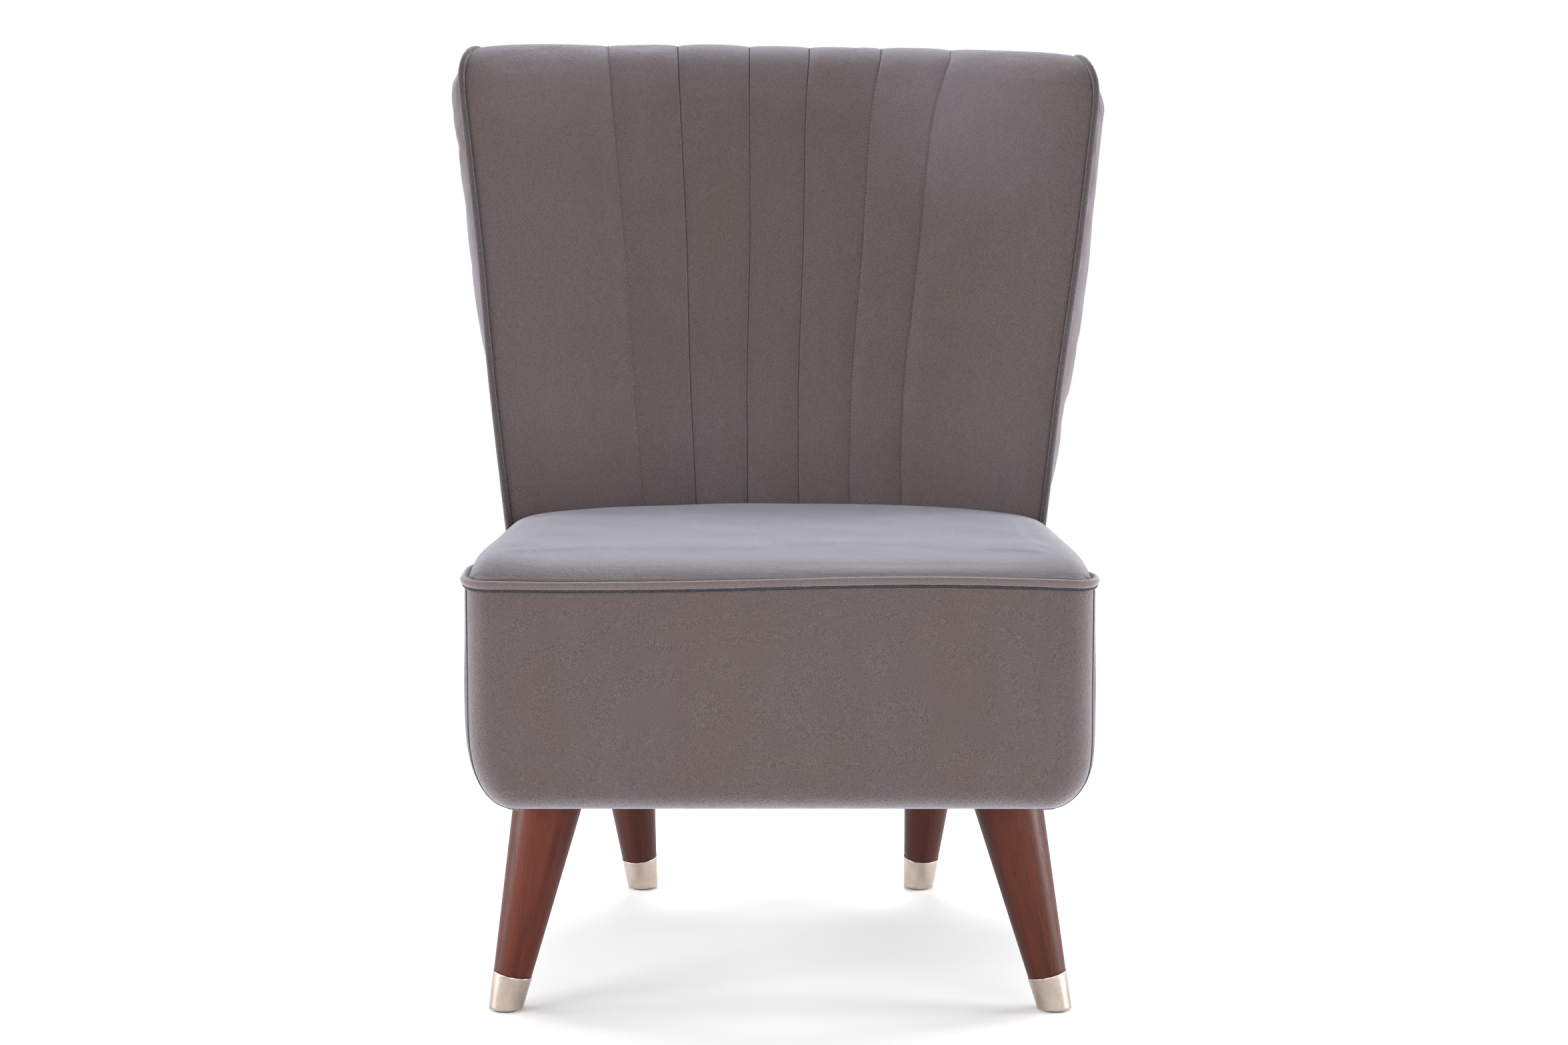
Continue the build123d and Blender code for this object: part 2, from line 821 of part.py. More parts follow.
# Seat support: sinuous springs in clips on the front and rear rails, under a felt pad
rear_sagitta = base_depth - seat_side_length
rear_curve = ((seat_rear_width / 2) ** 2 + rear_sagitta**2) / (2 * rear_sagitta)
wire_height = rail_top + spring_wire / 2 + joint_gap


def rear_rail_middle(across):
    """Depth of the middle of the rear rail's top face."""
    return base_depth - rear_curve + sqrt(rear_curve**2 - across**2) - frame_inset - rail_thickness / 2


def spring_route(across):
    """Corner points of one sinuous spring: straight ends with a zigzag between."""
    front = frame_inset + rail_thickness / 2 - clip_length / 2
    rear = rear_rail_middle(across) + clip_length / 2
    step = (rear - front - 2 * spring_lead) / spring_bends
    points = [at(across, front, wire_height), at(across, front + spring_lead, wire_height)]
    for bend in range(spring_bends):
        sway = spring_sway if bend % 2 else -spring_sway
        points.append(at(across + sway, front + spring_lead + (bend + 0.5) * step, wire_height))
    points += [at(across, rear - spring_lead, wire_height), at(across, rear, wire_height)]
    return points


spring_places = [spring_pitch * (place - (spring_count - 1) / 2) for place in range(spring_count)]
with BuildPart() as seat_springs:
    for across in spring_places:
        add(cord(spring_route(across), spring_bend_radius, spring_wire / 2))
save(seat_springs.part, "seat_springs")

clip_height = spring_wire + clip_room + clip_wall
with BuildPart() as spring_clips:
    for across in spring_places:
        for depth in (frame_inset + rail_thickness / 2, rear_rail_middle(across)):
            with BuildSketch(Plane.XZ.offset(depth_middle - depth)):
                with Locations((across, rail_top + clip_height / 2)):
                    Rectangle(clip_width, clip_height)
                with Locations((across, rail_top + (spring_wire + clip_room) / 2)):
                    Rectangle(spring_wire + clip_room, spring_wire + clip_room, mode=Mode.SUBTRACT)
            extrude(amount=clip_length / 2, both=True)
save(spring_clips.part, "spring_clips")

with BuildPart() as insulator_felt:
    extrude(base_plan(felt_bottom, padding_inset, front_edge_radius), amount=felt_thickness)
    for side, name in sides:
        add(upright(side, soft_gap), mode=Mode.SUBTRACT)
save(insulator_felt.part, "insulator_felt")

# Dust cover, stapled under the frame
with BuildPart() as dust_cover:
    extrude(base_opening(base_underside, seam_gap), amount=dust_cover_thickness)
    with Locations(*[(x, y, base_underside + dust_cover_thickness) for x, y in leg_tops]):
        Hole(bolt_radius + hole_clearance)
save(dust_cover.part, "dust_cover")

# Leg fasteners
with BuildPart() as hanger_bolts:
    with Locations(*[(x, y, leg_top_height - bolt_depth_in_leg) for x, y in leg_tops]):
        Cylinder(
            bolt_radius,
            block_top + tee_nut_flange + bolt_end - leg_top_height + bolt_depth_in_leg,
            align=(Align.CENTER, Align.CENTER, Align.MIN),
        )
save(hanger_bolts.part, "hanger_bolts")

with BuildPart() as tee_nuts:
    with Locations(*[(x, y, block_top) for x, y in leg_tops]):
        Cylinder(tee_nut_flange_radius, tee_nut_flange, align=(Align.CENTER, Align.CENTER, Align.MIN))
        Cylinder(tee_nut_barrel_radius, tee_nut_barrel, align=(Align.CENTER, Align.CENTER, Align.MAX))
        Hole(bolt_radius + thread_clearance)
save(tee_nuts.part, "tee_nuts")


# Legs: tapered, splayed bars with a spigot in a brass ferrule and a nailed glide under it
class LegAxis:
    """Axis of one leg, from the middle of its foot on the floor to the middle of its top."""

    def __init__(self, side, top, foot):
        self.foot = at(side * foot[0], foot[1])
        self.top = at(side * top[0], top[1], leg_top_height)
        self.vector = Vector(*self.top) - Vector(*self.foot, 0)
        self.plane = Plane((*self.foot, 0), z_dir=self.vector)

    def taper(self, start, end, grow):
        """Stretch of the tapered bar along the axis, grown or shrunk in radius."""
        rate = (leg_top_radius - leg_foot_radius) / self.vector.length
        with BuildPart(self.plane.offset(start)) as bar:
            Cone(
                leg_foot_radius + rate * start + grow,
                leg_foot_radius + rate * end + grow,
                end - start,
                align=(Align.CENTER, Align.CENTER, Align.MIN),
            )
        return bar.part


spigot_shrink = ferrule_proud - ferrule_wall - joint_gap
below_floor = -leg_foot_radius
ferrule_floor = glide_height + ferrule_wall

leg_rows = (("front", front_leg_top, front_leg_foot), ("rear", rear_leg_top, rear_leg_foot))

for side, side_name in sides:
    for end_name, top, foot in leg_rows:
        axis = LegAxis(side, top, foot)
        name = f"{end_name}_{side_name}"
        nail_plane = Plane((*axis.foot, glide_height))

        with BuildPart() as leg:
            add(axis.taper(ferrule_height + joint_gap, axis.vector.length + leg_top_radius, 0))
            add(axis.taper(below_floor, ferrule_height + leg_foot_radius, spigot_shrink))
            split(bisect_by=Plane.XY.offset(leg_top_height), keep=Keep.BOTTOM)
            split(bisect_by=Plane.XY.offset(ferrule_floor + joint_gap), keep=Keep.TOP)
            with Locations(axis.top):
                Hole(bolt_radius + thread_clearance, bolt_depth_in_leg + joint_gap)
            add(rod(nail_plane, nail_radius + thread_clearance, nail_length + joint_gap), mode=Mode.SUBTRACT)
        save(leg.part, f"leg_{name}")

        with BuildPart() as cup_room:
            add(axis.taper(below_floor, 2 * ferrule_height, spigot_shrink + joint_gap))
            split(bisect_by=Plane.XY.offset(ferrule_floor), keep=Keep.TOP)
        with BuildPart() as ferrule:
            add(axis.taper(below_floor, ferrule_height, ferrule_proud))
            split(bisect_by=Plane.XY.offset(glide_height), keep=Keep.TOP)
            add(cup_room.part, mode=Mode.SUBTRACT)
            add(rod(nail_plane, nail_radius + thread_clearance, nail_length), mode=Mode.SUBTRACT)
        save(ferrule.part, f"ferrule_{name}")

        with BuildPart() as glide:
            add(rod(Plane((*axis.foot, 0)), glide_radius, glide_height))
            add(rod(nail_plane, nail_radius, nail_length))
        save(glide.part, f"glide_{name}")
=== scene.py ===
# %% [markdown]
# # A velvet accent chair
# The chair is a small armless one: a boxed seat, a fan-shaped back with sewn channels, and four splayed
# legs in brass ferrules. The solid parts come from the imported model, which is loaded first and never
# moved. This lesson then dresses it: every velvet panel is a surface worked out with numpy in the same
# frame, in metres, with +Z up and the sitter facing -Y.

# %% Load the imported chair
import json
from functools import partial

import bpy
import numpy as np
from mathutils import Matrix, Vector


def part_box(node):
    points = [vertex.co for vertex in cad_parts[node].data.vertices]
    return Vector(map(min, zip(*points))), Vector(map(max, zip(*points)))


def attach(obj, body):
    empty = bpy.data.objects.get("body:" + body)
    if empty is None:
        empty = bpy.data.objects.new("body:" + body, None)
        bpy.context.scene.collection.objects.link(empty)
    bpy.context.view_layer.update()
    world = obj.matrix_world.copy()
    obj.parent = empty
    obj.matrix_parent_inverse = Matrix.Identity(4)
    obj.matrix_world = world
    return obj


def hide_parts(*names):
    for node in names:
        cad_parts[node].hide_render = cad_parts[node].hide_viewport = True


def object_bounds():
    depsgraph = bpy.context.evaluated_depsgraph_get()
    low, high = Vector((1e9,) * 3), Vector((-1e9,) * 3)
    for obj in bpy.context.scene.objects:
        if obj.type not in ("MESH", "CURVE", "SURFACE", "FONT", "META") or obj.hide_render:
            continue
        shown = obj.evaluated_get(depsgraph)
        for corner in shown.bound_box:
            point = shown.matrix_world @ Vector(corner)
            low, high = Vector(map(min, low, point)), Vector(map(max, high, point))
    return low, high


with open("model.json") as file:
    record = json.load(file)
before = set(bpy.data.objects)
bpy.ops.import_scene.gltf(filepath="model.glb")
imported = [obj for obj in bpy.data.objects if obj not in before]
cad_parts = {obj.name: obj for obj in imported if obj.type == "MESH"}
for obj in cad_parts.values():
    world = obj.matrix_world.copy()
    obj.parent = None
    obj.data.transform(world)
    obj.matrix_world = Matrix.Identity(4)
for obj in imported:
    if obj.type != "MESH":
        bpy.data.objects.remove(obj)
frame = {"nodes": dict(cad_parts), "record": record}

nodes = frame["nodes"]
cad_low, cad_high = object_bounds()
print("packed chair", len(nodes), "nodes, box", [round(v, 3) for v in (*cad_low, *cad_high)])

# %% [markdown]
# ## Sizes
# What the frame can tell is read from it: the front of the base, its underside, the height of the piping.
# The slopes and half-widths of the fan-shaped back are repeated here from the part, because the velvet
# has to lie on the same straight runs. A pair is always (at the seat, at the top of the back), and depth
# is measured back from the front of the base. The seat's edge falls and drifts to the left a little with
# every metre of depth.

# %% Sizes of the chair
border_low, border_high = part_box("front_border")
piping_low, piping_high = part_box("seat_piping")
front_y = border_low.y
underside = border_low.z
border_top = border_high.z
piping_radius = (piping_high.z - piping_low.z) / 2
seat_edge = piping_low.z + piping_radius
back_top = cad_high.z - piping_radius
back_tuck = 0.018
back_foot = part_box("inside_back_cover")[0].z - back_tuck
cloth = 0.0018

front_half = 0.3025
rear_half = 0.274
side_length = 0.520
base_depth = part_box("rear_border")[1].y - front_y
side_slope = (front_half - rear_half) / side_length
edge_fall = 0.032
edge_drift = -0.0050

back_foot_depth = 0.498
back_thickness = 0.101
inside_slope = np.tan(np.radians(15))
outside_slope = np.tan(np.radians(12.7))
wing_halves = (0.279, 0.346)
wing_reaches = (0.085, 0.092)
wing_depths = (0.110, 0.084)
wing_tucks = (0.014, 0.032)
outside_seam_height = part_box("outside_back_cover")[1].z
both_sides = ((-1, "left"), (1, "right"))
print("seat edge", round(seat_edge, 4), "back top", round(back_top, 4), "base depth", round(base_depth, 4))

# %% [markdown]
# ## From numbers to a mesh
# A panel is a grid: rows and columns of points. One function joins neighbouring points with quads, turns
# them all the same way and makes the object. Whether they face out is decided by arithmetic, not by eye:
# an open panel is compared with a direction that it should face, and a closed form with the sign of its
# volume.


# %% Grids and pieces
def grid_quads(rows, columns, round_columns=False):
    """Quads between neighbouring rows and columns, with the last column joined to the first if asked."""
    index = np.arange(rows * columns).reshape(rows, columns)
    if round_columns:
        index = np.concatenate([index, index[:, :1]], axis=1)
    corners = (index[:-1, :-1], index[:-1, 1:], index[1:, 1:], index[1:, :-1])
    return np.stack(corners, axis=-1).reshape(-1, 4)


def facing_out(points, quads, towards=None):
    """Quads turned so that their area faces a direction or, without one, their volume is positive."""
    a, b, c, d = (points[quads[:, corner]] for corner in range(4))
    area = np.cross(c - a, d - b) / 2
    outward = np.sum(area * (a + b + c + d)) if towards is None else area.sum(0) @ np.array(towards)
    return quads if outward >= 0 else quads[:, ::-1]


def make_piece(name, points, quads, towards=None):
    """Smooth object at the origin from points and quads that are made to face out."""
    points = np.asarray(points, float).reshape(-1, 3)
    mesh = bpy.data.meshes.new(name)
    mesh.from_pydata(points.tolist(), [], facing_out(points, quads, towards).tolist())
    mesh.validate()
    mesh.polygons.foreach_set("use_smooth", np.ones(len(mesh.polygons), bool))
    piece = bpy.data.objects.new(name, mesh)
    bpy.context.scene.collection.objects.link(piece)
    return piece


def grid_piece(name, points, towards=None, round_columns=False):
    """Object from a grid of points, with its columns joined into a ring if asked."""
    return make_piece(name, points, grid_quads(*points.shape[:2], round_columns), towards)


def in_frame(across, depth, height):
    """Points from distances across, depths behind the front of the base and heights, spread to one grid."""
    return np.stack(np.broadcast_arrays(across, front_y + depth, height), axis=-1)


def coordinates(mesh):
    """All vertices of a mesh as one array."""
    flat = np.empty(len(mesh.vertices) * 3, np.float32)
    mesh.vertices.foreach_get("co", flat)
    return flat.reshape(-1, 3).astype(float)


def soften(piece):
    """Round a piece with one subdivision, the same in views and in renders."""
    rounded = piece.modifiers.new("round", "SUBSURF")
    rounded.levels = rounded.render_levels = 1


def thicken(piece, thickness=cloth):
    """Give a panel the thickness of its cloth, inwards."""
    wall = piece.modifiers.new("cloth", "SOLIDIFY")
    wall.thickness = thickness
    wall.offset = -1


def dress(piece, finish, slot, *stands_for):
    """Give a piece its finish, its place on the chair and the nodes that it stands for."""
    piece.data.materials.clear()
    piece.data.materials.append(finish)
    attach(piece, "root")
    if stands_for:
        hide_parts(*stands_for)
    print(piece.name, len(piece.data.polygons), "faces")


# %% [markdown]
# ## Uneven by hand
# Nothing stitched over foam is perfectly even. A slow ripple, made of a few sine waves that don't share a
# period, is cheap, repeats exactly on every run, and can be added to any surface along its normal. The
# other small curves here say where on the chair a change begins and how softly it fades.


# %% A slow ripple and other soft changes
def ripple(a, b, size, seed):
    """Sum of four sine waves over two distances, between about -1 and 1, with waves of a given size."""
    total = 0
    for step in range(4):
        turn = seed + 2.4 * step
        wave = (a * np.cos(turn) + b * np.sin(turn)) * (1 + 0.37 * step) / size
        total = total + np.sin(2 * np.pi * wave + 1.7 * turn) / 4
    return total


def ramp(value, start, width):
    """Zero up to a start, then straight up to one over a width; a negative width rises the other way."""
    return np.clip((value - start) / width, 0, 1)


def ease(share):
    """A share of 0 to 1 that starts and ends slowly: three of its squares less two of its cubes."""
    return share * share * (3 - 2 * share)


def bump_near(distance, width):
    """One at zero distance, fading like a bell curve over a width."""
    return np.exp(-((distance / width) ** 2))


def lopsided(value, peak, before, after):
    """Bell curve round a peak, with one width before it and another after it."""
    return bump_near(value - peak, np.where(value < peak, before, after))


def fade_above(value, place, width):
    """One well below a place and zero well above it, along an S-shaped curve."""
    return (1 - np.tanh((value - place) / width / 2)) / 2


def unit(vectors):
    """Vectors of length one."""
    return vectors / np.maximum(np.linalg.norm(vectors, axis=-1, keepdims=True), 1e-12)


def travelled(points):
    """Distance along a path, from zero at its first point."""
    return np.concatenate([[0], np.cumsum(np.linalg.norm(np.diff(points, axis=0), axis=1))])


print("ripple at the origin", round(float(ripple(0, 0, 1, 0)), 3))

# %% [markdown]
# ## Velvet that settles
# Blender's cloth makes padding believable. A panel is held along its seams, air pressure pushes it out,
# and a little slack in the cloth lets it pucker. The result is capped, so that no point leaves its place
# by more than a few millimetres, and written back to the mesh, so that no simulation is left on the
# piece.

# %% Cloth simulation
settle_frames = 20
padding_pressure = 0.8


def settle(piece, held, cap, slack=0.0, bending=0.5):
    """Let a panel swell between its held points for some frames, and keep at most a cap of movement."""
    scene = bpy.context.scene
    start = coordinates(piece.data)
    group = piece.vertex_groups.new(name="held")
    group.add(np.flatnonzero(held).tolist(), 1.0, "REPLACE")
    cloth_modifier = piece.modifiers.new("settle", "CLOTH")
    settings = cloth_modifier.settings
    settings.quality = 6
    settings.mass = 0.25
    settings.tension_stiffness = 25
    settings.compression_stiffness = 25
    settings.shear_stiffness = 10
    settings.bending_stiffness = bending
    settings.use_pressure = True
    settings.uniform_pressure_force = padding_pressure
    settings.shrink_min = -slack
    settings.vertex_group_mass = "held"
    settings.effector_weights.gravity = 0
    cloth_modifier.collision_settings.use_collision = False
    cloth_modifier.point_cache.frame_end = settle_frames
    for step in range(1, settle_frames + 1):
        scene.frame_set(step)
    settled = coordinates(piece.evaluated_get(bpy.context.evaluated_depsgraph_get()).data)
    piece.modifiers.remove(cloth_modifier)
    piece.vertex_groups.remove(group)
    scene.frame_set(1)
    move = settled - start
    length = np.linalg.norm(move, axis=1, keepdims=True)
    move *= np.minimum(1, cap / np.maximum(length, 1e-9))
    piece.data.vertices.foreach_set("co", (start + move).astype(np.float32).ravel())
    piece.data.update()
    farthest = float(np.linalg.norm(move, axis=1).max()) * 1000
    print(piece.name, "settled, moved up to", round(farthest, 1), "mm")


# %% [markdown]
# ## Finishes as sums
# A finish is a small tree of nodes. Writing it as arithmetic keeps it readable: a wrapped socket can be
# added, multiplied or subtracted, and each operation adds one Math node. Any other node comes from one
# method that sets its options first and then fills or links its sockets.


# %% Sockets that behave like numbers
class Link:
    """An output socket that can stand in a sum."""

    def __init__(self, finish, socket):
        self.finish = finish
        self.socket = socket

    def math(self, operation, first, second):
        """Math node on two values or links."""
        return self.finish.node("ShaderNodeMath", {"operation": operation}, {0: first, 1: second})

    def __add__(self, other):
        return self.math("ADD", self, other)

    def __radd__(self, other):
        return self.math("ADD", other, self)

    def __sub__(self, other):
        return self.math("SUBTRACT", self, other)

    def __rsub__(self, other):
        return self.math("SUBTRACT", other, self)

    def __mul__(self, other):
        return self.math("MULTIPLY", self, other)

    def __rmul__(self, other):
        return self.math("MULTIPLY", other, self)


class Finish:
    """A material or world under construction."""

    def __init__(self, holder):
        self.holder = holder
        holder.use_nodes = True
        self.tree = holder.node_tree
        self.tree.nodes.clear()

    def node(self, kind, settings=None, inputs=None, output=0):
        """Any node: its settings are set first, then its sockets get values or links."""
        made = self.tree.nodes.new(kind)
        for name, value in (settings or {}).items():
            setattr(made, name, value)
        for name, value in (inputs or {}).items():
            found = self.socket(made.inputs, name)
            if isinstance(value, Link):
                self.tree.links.new(value.socket, found)
            else:
                found.default_value = value
        return Link(self, self.socket(made.outputs, output))

    @staticmethod
    def socket(sockets, name):
        """Socket by its number, its identifier or, failing that, its name."""
        return next((s for s in sockets if s.identifier == name), None) or sockets[name]

    def place(self, attribute=None):
        """Object coordinates or, where one is named, an attribute of the piece's own."""
        if attribute:
            return self.node("ShaderNodeAttribute", {"attribute_name": attribute}, None, "Vector")
        return self.node("ShaderNodeTexCoord", None, None, "Object")

    def vector(self, operation, *values, output=0):
        """Vector Math node on values or links."""
        return self.node("ShaderNodeVectorMath", {"operation": operation}, dict(enumerate(values)), output)

    def noise(self, place, scale, detail=2.0, roughness=0.5):
        """Noise between 0 and 1 at a place."""
        values = {"Vector": place, "Scale": scale, "Detail": detail, "Roughness": roughness}
        return self.node("ShaderNodeTexNoise", None, values)

    def streaks(self, place, stretch, detail=2.0, roughness=0.5):
        """Noise at a place with its axes stretched, so that it runs long where the stretch is small."""
        stretched = self.node("ShaderNodeMapping", None, {"Vector": place, "Scale": stretch})
        return self.noise(stretched, 1.0, detail, roughness)

    def span(self, value, low, high):
        """A value mapped from low..high to 0..1, smoothly and within those ends."""
        limits = {"Value": value, "From Min": low, "From Max": high}
        return self.node("ShaderNodeMapRange", {"interpolation_type": "SMOOTHSTEP"}, limits)

    def mix(self, share, first, second):
        """Colour between two colours or links."""
        values = {"Factor_Float": share, "A_Color": first, "B_Color": second}
        return self.node("ShaderNodeMix", {"data_type": "RGBA"}, values, "Result_Color")

    def bump(self, height, distance):
        """Normal from a height of 0 to 1 times a distance in metres."""
        return self.node("ShaderNodeBump", None, {"Height": height, "Distance": distance, "Strength": 1.0})

    def surface(self, values):
        """Principled surface as the output of a material."""
        return self.shown("Material", self.node("ShaderNodeBsdfPrincipled", None, values))

    def mixed(self, kind, share, first, second):
        """Two shaders, mixed by a share, as the output of a material or world."""
        return self.shown(kind, self.node("ShaderNodeMixShader", None, {0: share, 1: first, 2: second}))

    def shown(self, kind, shader):
        """Feed a shader to the output node, and give back the finished material or world."""
        out = self.tree.nodes.new(f"ShaderNodeOutput{kind}")
        self.tree.links.new(shader.socket, out.inputs["Surface"])
        return self.holder


def srgb(red, green, blue):
    """Linear colour, with alpha, from 0..255 screen values."""
    value = np.array([red, green, blue]) / 255
    linear = np.where(value <= 0.04045, value / 12.92, ((value + 0.055) / 1.055) ** 2.4)
    return (*linear.tolist(), 1.0)


pure_black = srgb(0, 0, 0)
pure_white = srgb(255, 255, 255)
print("black and white", pure_black, pure_white)

# %% [markdown]
# ## Velvet
# Velvet is a short pile that stands up from its backing. Seen face-on it is dark, because one looks in
# between the fibres; at a glancing angle the tips catch light and it turns pale and cool. Sheen gives
# that. Brushing leaves patches where the pile leans another way, so the colour wanders slowly, with
# streaks along the nap, and a fine grain the size of the tufts. On the back, a few paler patches are
# painted light: painted highlights on the upper back and the right wing, and painted light low down.

# %% Velvet finishes
sheen_tint = srgb(236, 238, 252)
# Paler tint of the painted light on the back.
painted_light_tint = srgb(206, 200, 216)
velvet_hues = (srgb(85, 70, 68), srgb(84, 71, 72))
# Each painted light patch has a centre, a reach along each axis and the share of the paler tint at its
# centre.
back_painted_light = [
    ((0.20, 0.25, 0.89), (0.15, 0.5, 0.18), 0.090),
    ((-0.24, 0.25, 0.92), (0.15, 0.5, 0.12), 0.040),
    ((0.0, 0.25, 0.93), (0.40, 0.5, 0.09), 0.050),
    ((0.0, 0.15, 0.45), (0.38, 0.5, 0.17), 0.030),
    ((-0.23, 0.15, 0.48), (0.13, 0.5, 0.15), 0.024),
    ((0.23, 0.15, 0.48), (0.13, 0.5, 0.15), 0.018),
]


def velvet_finish(name, warm, cool, sheen, pile, light_patches=()):
    """Velvet between two hues, with slow nap patches, streaks, a fine pile and paler patches of painted
    light.
    """
    finish = Finish(bpy.data.materials.new(name))
    place = finish.place()
    patches = finish.noise(place, scale=8.0, detail=3.0, roughness=0.55)
    brushed = finish.streaks(place, (38, 38, 9), detail=3.0, roughness=0.6)
    grain = finish.noise(place, scale=1100, roughness=0.6)
    hue = finish.span(patches * 0.75 + brushed * 0.25, 0.36, 0.64)
    nap = finish.span(brushed * 0.6 + finish.noise(place, scale=15) * 0.4, 0.34, 0.66)
    speck = finish.span(grain, 0.30, 0.70)
    shade = finish.mix(hue, warm, cool)
    # Paler patches mixed into the colour: painted light.
    for centre, reach, share in light_patches:
        away = finish.vector("DIVIDE", finish.vector("SUBTRACT", place, centre), reach)
        far = finish.span(finish.vector("LENGTH", away, output="Value"), 0.0, 1.0)
        shade = finish.mix((1 - far) * share, shade, painted_light_tint)
    low = finish.mix(0.12 + 0.025 * (1 - nap), shade, pure_black)
    high = finish.mix(0.045 + 0.012 * nap, shade, pure_white)
    return finish.surface({
        "Base Color": finish.mix(speck, low, high),
        "Roughness": 0.80 + nap * 0.12,
        "Specular IOR Level": 0.12,
        "Sheen Weight": sheen,
        "Sheen Roughness": 0.36,
        "Sheen Tint": sheen_tint,
        "Normal": finish.bump(speck * 0.7 + nap * 0.3, pile),
    })


velvet = velvet_finish("mink_velvet", *velvet_hues, sheen=1.0, pile=0.0005)
# The back's velvet carries the patches of painted light.
back_velvet_painted_light = velvet_finish("back_velvet_painted_light", *velvet_hues, sheen=1.0, pile=0.0005, light_patches=back_painted_light)
# The back piping's velvet is darker than the cover's: painted shade. The seat piping's is paler: painted
# light.
back_piping_velvet_painted_shade = velvet_finish("back_piping_velvet_painted_shade", srgb(66, 55, 55), srgb(65, 56, 59), sheen=0.9, pile=0.0003)
seat_piping_velvet_painted_light = velvet_finish(
    "seat_piping_velvet_painted_light", srgb(102, 87, 84), srgb(101, 88, 88), sheen=1.0, pile=0.0003
)
# Dark velvet without sheen for the seams: painted shade.
painted_shade_velvet = velvet_finish("painted_shade_velvet", srgb(38, 31, 31), srgb(38, 32, 33), sheen=0.0, pile=0.0002)
velvets = (velvet, back_velvet_painted_light, back_piping_velvet_painted_shade, seat_piping_velvet_painted_light, painted_shade_velvet)
print("finishes", [finish.name for finish in velvets])

# %% [markdown]
# ## Shape of the back
# Seen from the side, each height of the back has a front and a rear depth, and both faces close over a
# round top that is tangent to them. Seen from above, the front face is a hollow arc from wing to wing,
# and the rear face a bowed one. So a row of the surface is a height, a depth at the middle and a depth at
# the wing. The frame underneath is even, but the real back was built by hand, so every point is moved a
# little at the end.


# %% Straight runs and the round top
def run(pair, z):
    """Value at a height, on a straight run from the seat edge to the top of the back."""
    return pair[0] + (pair[1] - pair[0]) * (z - seat_edge) / (back_top - seat_edge)


def inside_middle(z):
    """Depth of the inside back at the middle."""
    return back_foot_depth + (z - seat_edge) * inside_slope


def outside_middle(z):
    """Depth of the outside back at the middle."""
    return back_foot_depth + back_thickness + (z - seat_edge) * outside_slope


def wing_front(z):
    """Depth of the wing's front edge."""
    return inside_middle(z) - run(wing_reaches, z)


def wing_rear(z):
    """Depth of the wing's rear edge."""
    return wing_front(z) + run(wing_depths, z)


def roll(front, rear):
    """Radius, height and depth of the round top that touches a front and a rear face, and their slopes."""
    lean, back_lean = front(1.0) - front(0.0), rear(1.0) - rear(0.0)
    stretch, back_stretch = np.hypot(1, lean), np.hypot(1, back_lean)
    radius = (rear(back_top) - front(back_top)) / (stretch + back_stretch - lean + back_lean)
    height = back_top - radius
    return radius, height, front(height) + radius * stretch, lean / stretch, back_lean / back_stretch


def rolled(z, front, rear):
    """Front and rear depth at a height: the straight face, or the circle once that has begun."""
    radius, height, depth, lean, back_lean = roll(front, rear)
    half_chord = np.sqrt(np.clip(radius**2 - (z - height) ** 2, 0, None))
    front_depth = np.where(z > height + radius * lean, depth - half_chord, front(z))
    rear_depth = np.where(z > height - radius * back_lean, depth + half_chord, rear(z))
    return front_depth, rear_depth


def wing_corners(z):
    """Front and rear corner of a wing, as (across, depth), and the share of depth under the round top."""
    front, rear = rolled(z, wing_front, wing_rear)
    share = (rear - front) / (wing_rear(z) - wing_front(z))
    middle = run(wing_halves, z) - run(wing_tucks, z) / 2
    tuck = run(wing_tucks, z) / 2 * share
    return (middle + tuck, front), (middle - tuck, rear), share


def bow(across, half, edge_depth, middle_depth):
    """Depth on a circular arc that reaches middle_depth at the middle and edge_depth at each end."""
    sagitta = middle_depth - edge_depth
    radius = (half**2 + sagitta**2) / (2 * sagitta)
    return middle_depth - radius + np.sqrt(radius**2 - across**2)


def levels(foot, straight_count, round_count):
    """Heights from a foot to the top: even steps, then even angles round the top."""
    radius, height, *_ = roll(inside_middle, outside_middle)
    straight = np.linspace(foot, height, straight_count, endpoint=False)
    return np.append(straight, height + radius * np.sin(np.linspace(0, np.pi / 2, round_count)))


top_radius, wing_radius = roll(inside_middle, outside_middle)[0], roll(wing_front, wing_rear)[0]
print("round top radius", round(top_radius, 4), "and over the wings", round(wing_radius, 4))

# %% The back as it was built
foot_spread = 0.0145
spread_loss = 0.0208
back_shift = -0.0012
foot_shift = -0.0040
corner_in = -0.006
corner_down = -0.001
top_tilt = -0.0045


def hand_made(points):
    """Points moved to a wider foot that sits to the left, a higher left corner and a rounder right one."""
    x, z = points[..., 0], points[..., 2]
    share = ramp(z, seat_edge, back_top - seat_edge)
    low = ease(ramp(z, start=0.74, width=-0.20))
    corner = ramp(x, start=0.20, width=0.14) ** 2 * ramp(z, start=0.855, width=0.06) ** 2
    across = x * (foot_spread - spread_loss * share) + back_shift + foot_shift * low + corner_in * corner
    up = top_tilt * (x / wing_halves[1]) * share**2 + corner_down * corner
    return points + np.stack([across, np.zeros_like(x), up], axis=-1)


print("right top corner goes to", hand_made(np.array([wing_halves[1], 0, back_top])).round(4))

# %% [markdown]
# ## The channelled inside back
# One cover runs up the inside, over the top and a little way down the back. Six lines of sewing pull it
# down to the foam and leave five narrow channels between two wide panels. A column of the grid belongs to
# one channel, so the sewing lines are always grid lines: that keeps the grooves crisp. Each channel
# swells along the normal of the plain surface, flat in the middle and steep at its seams.

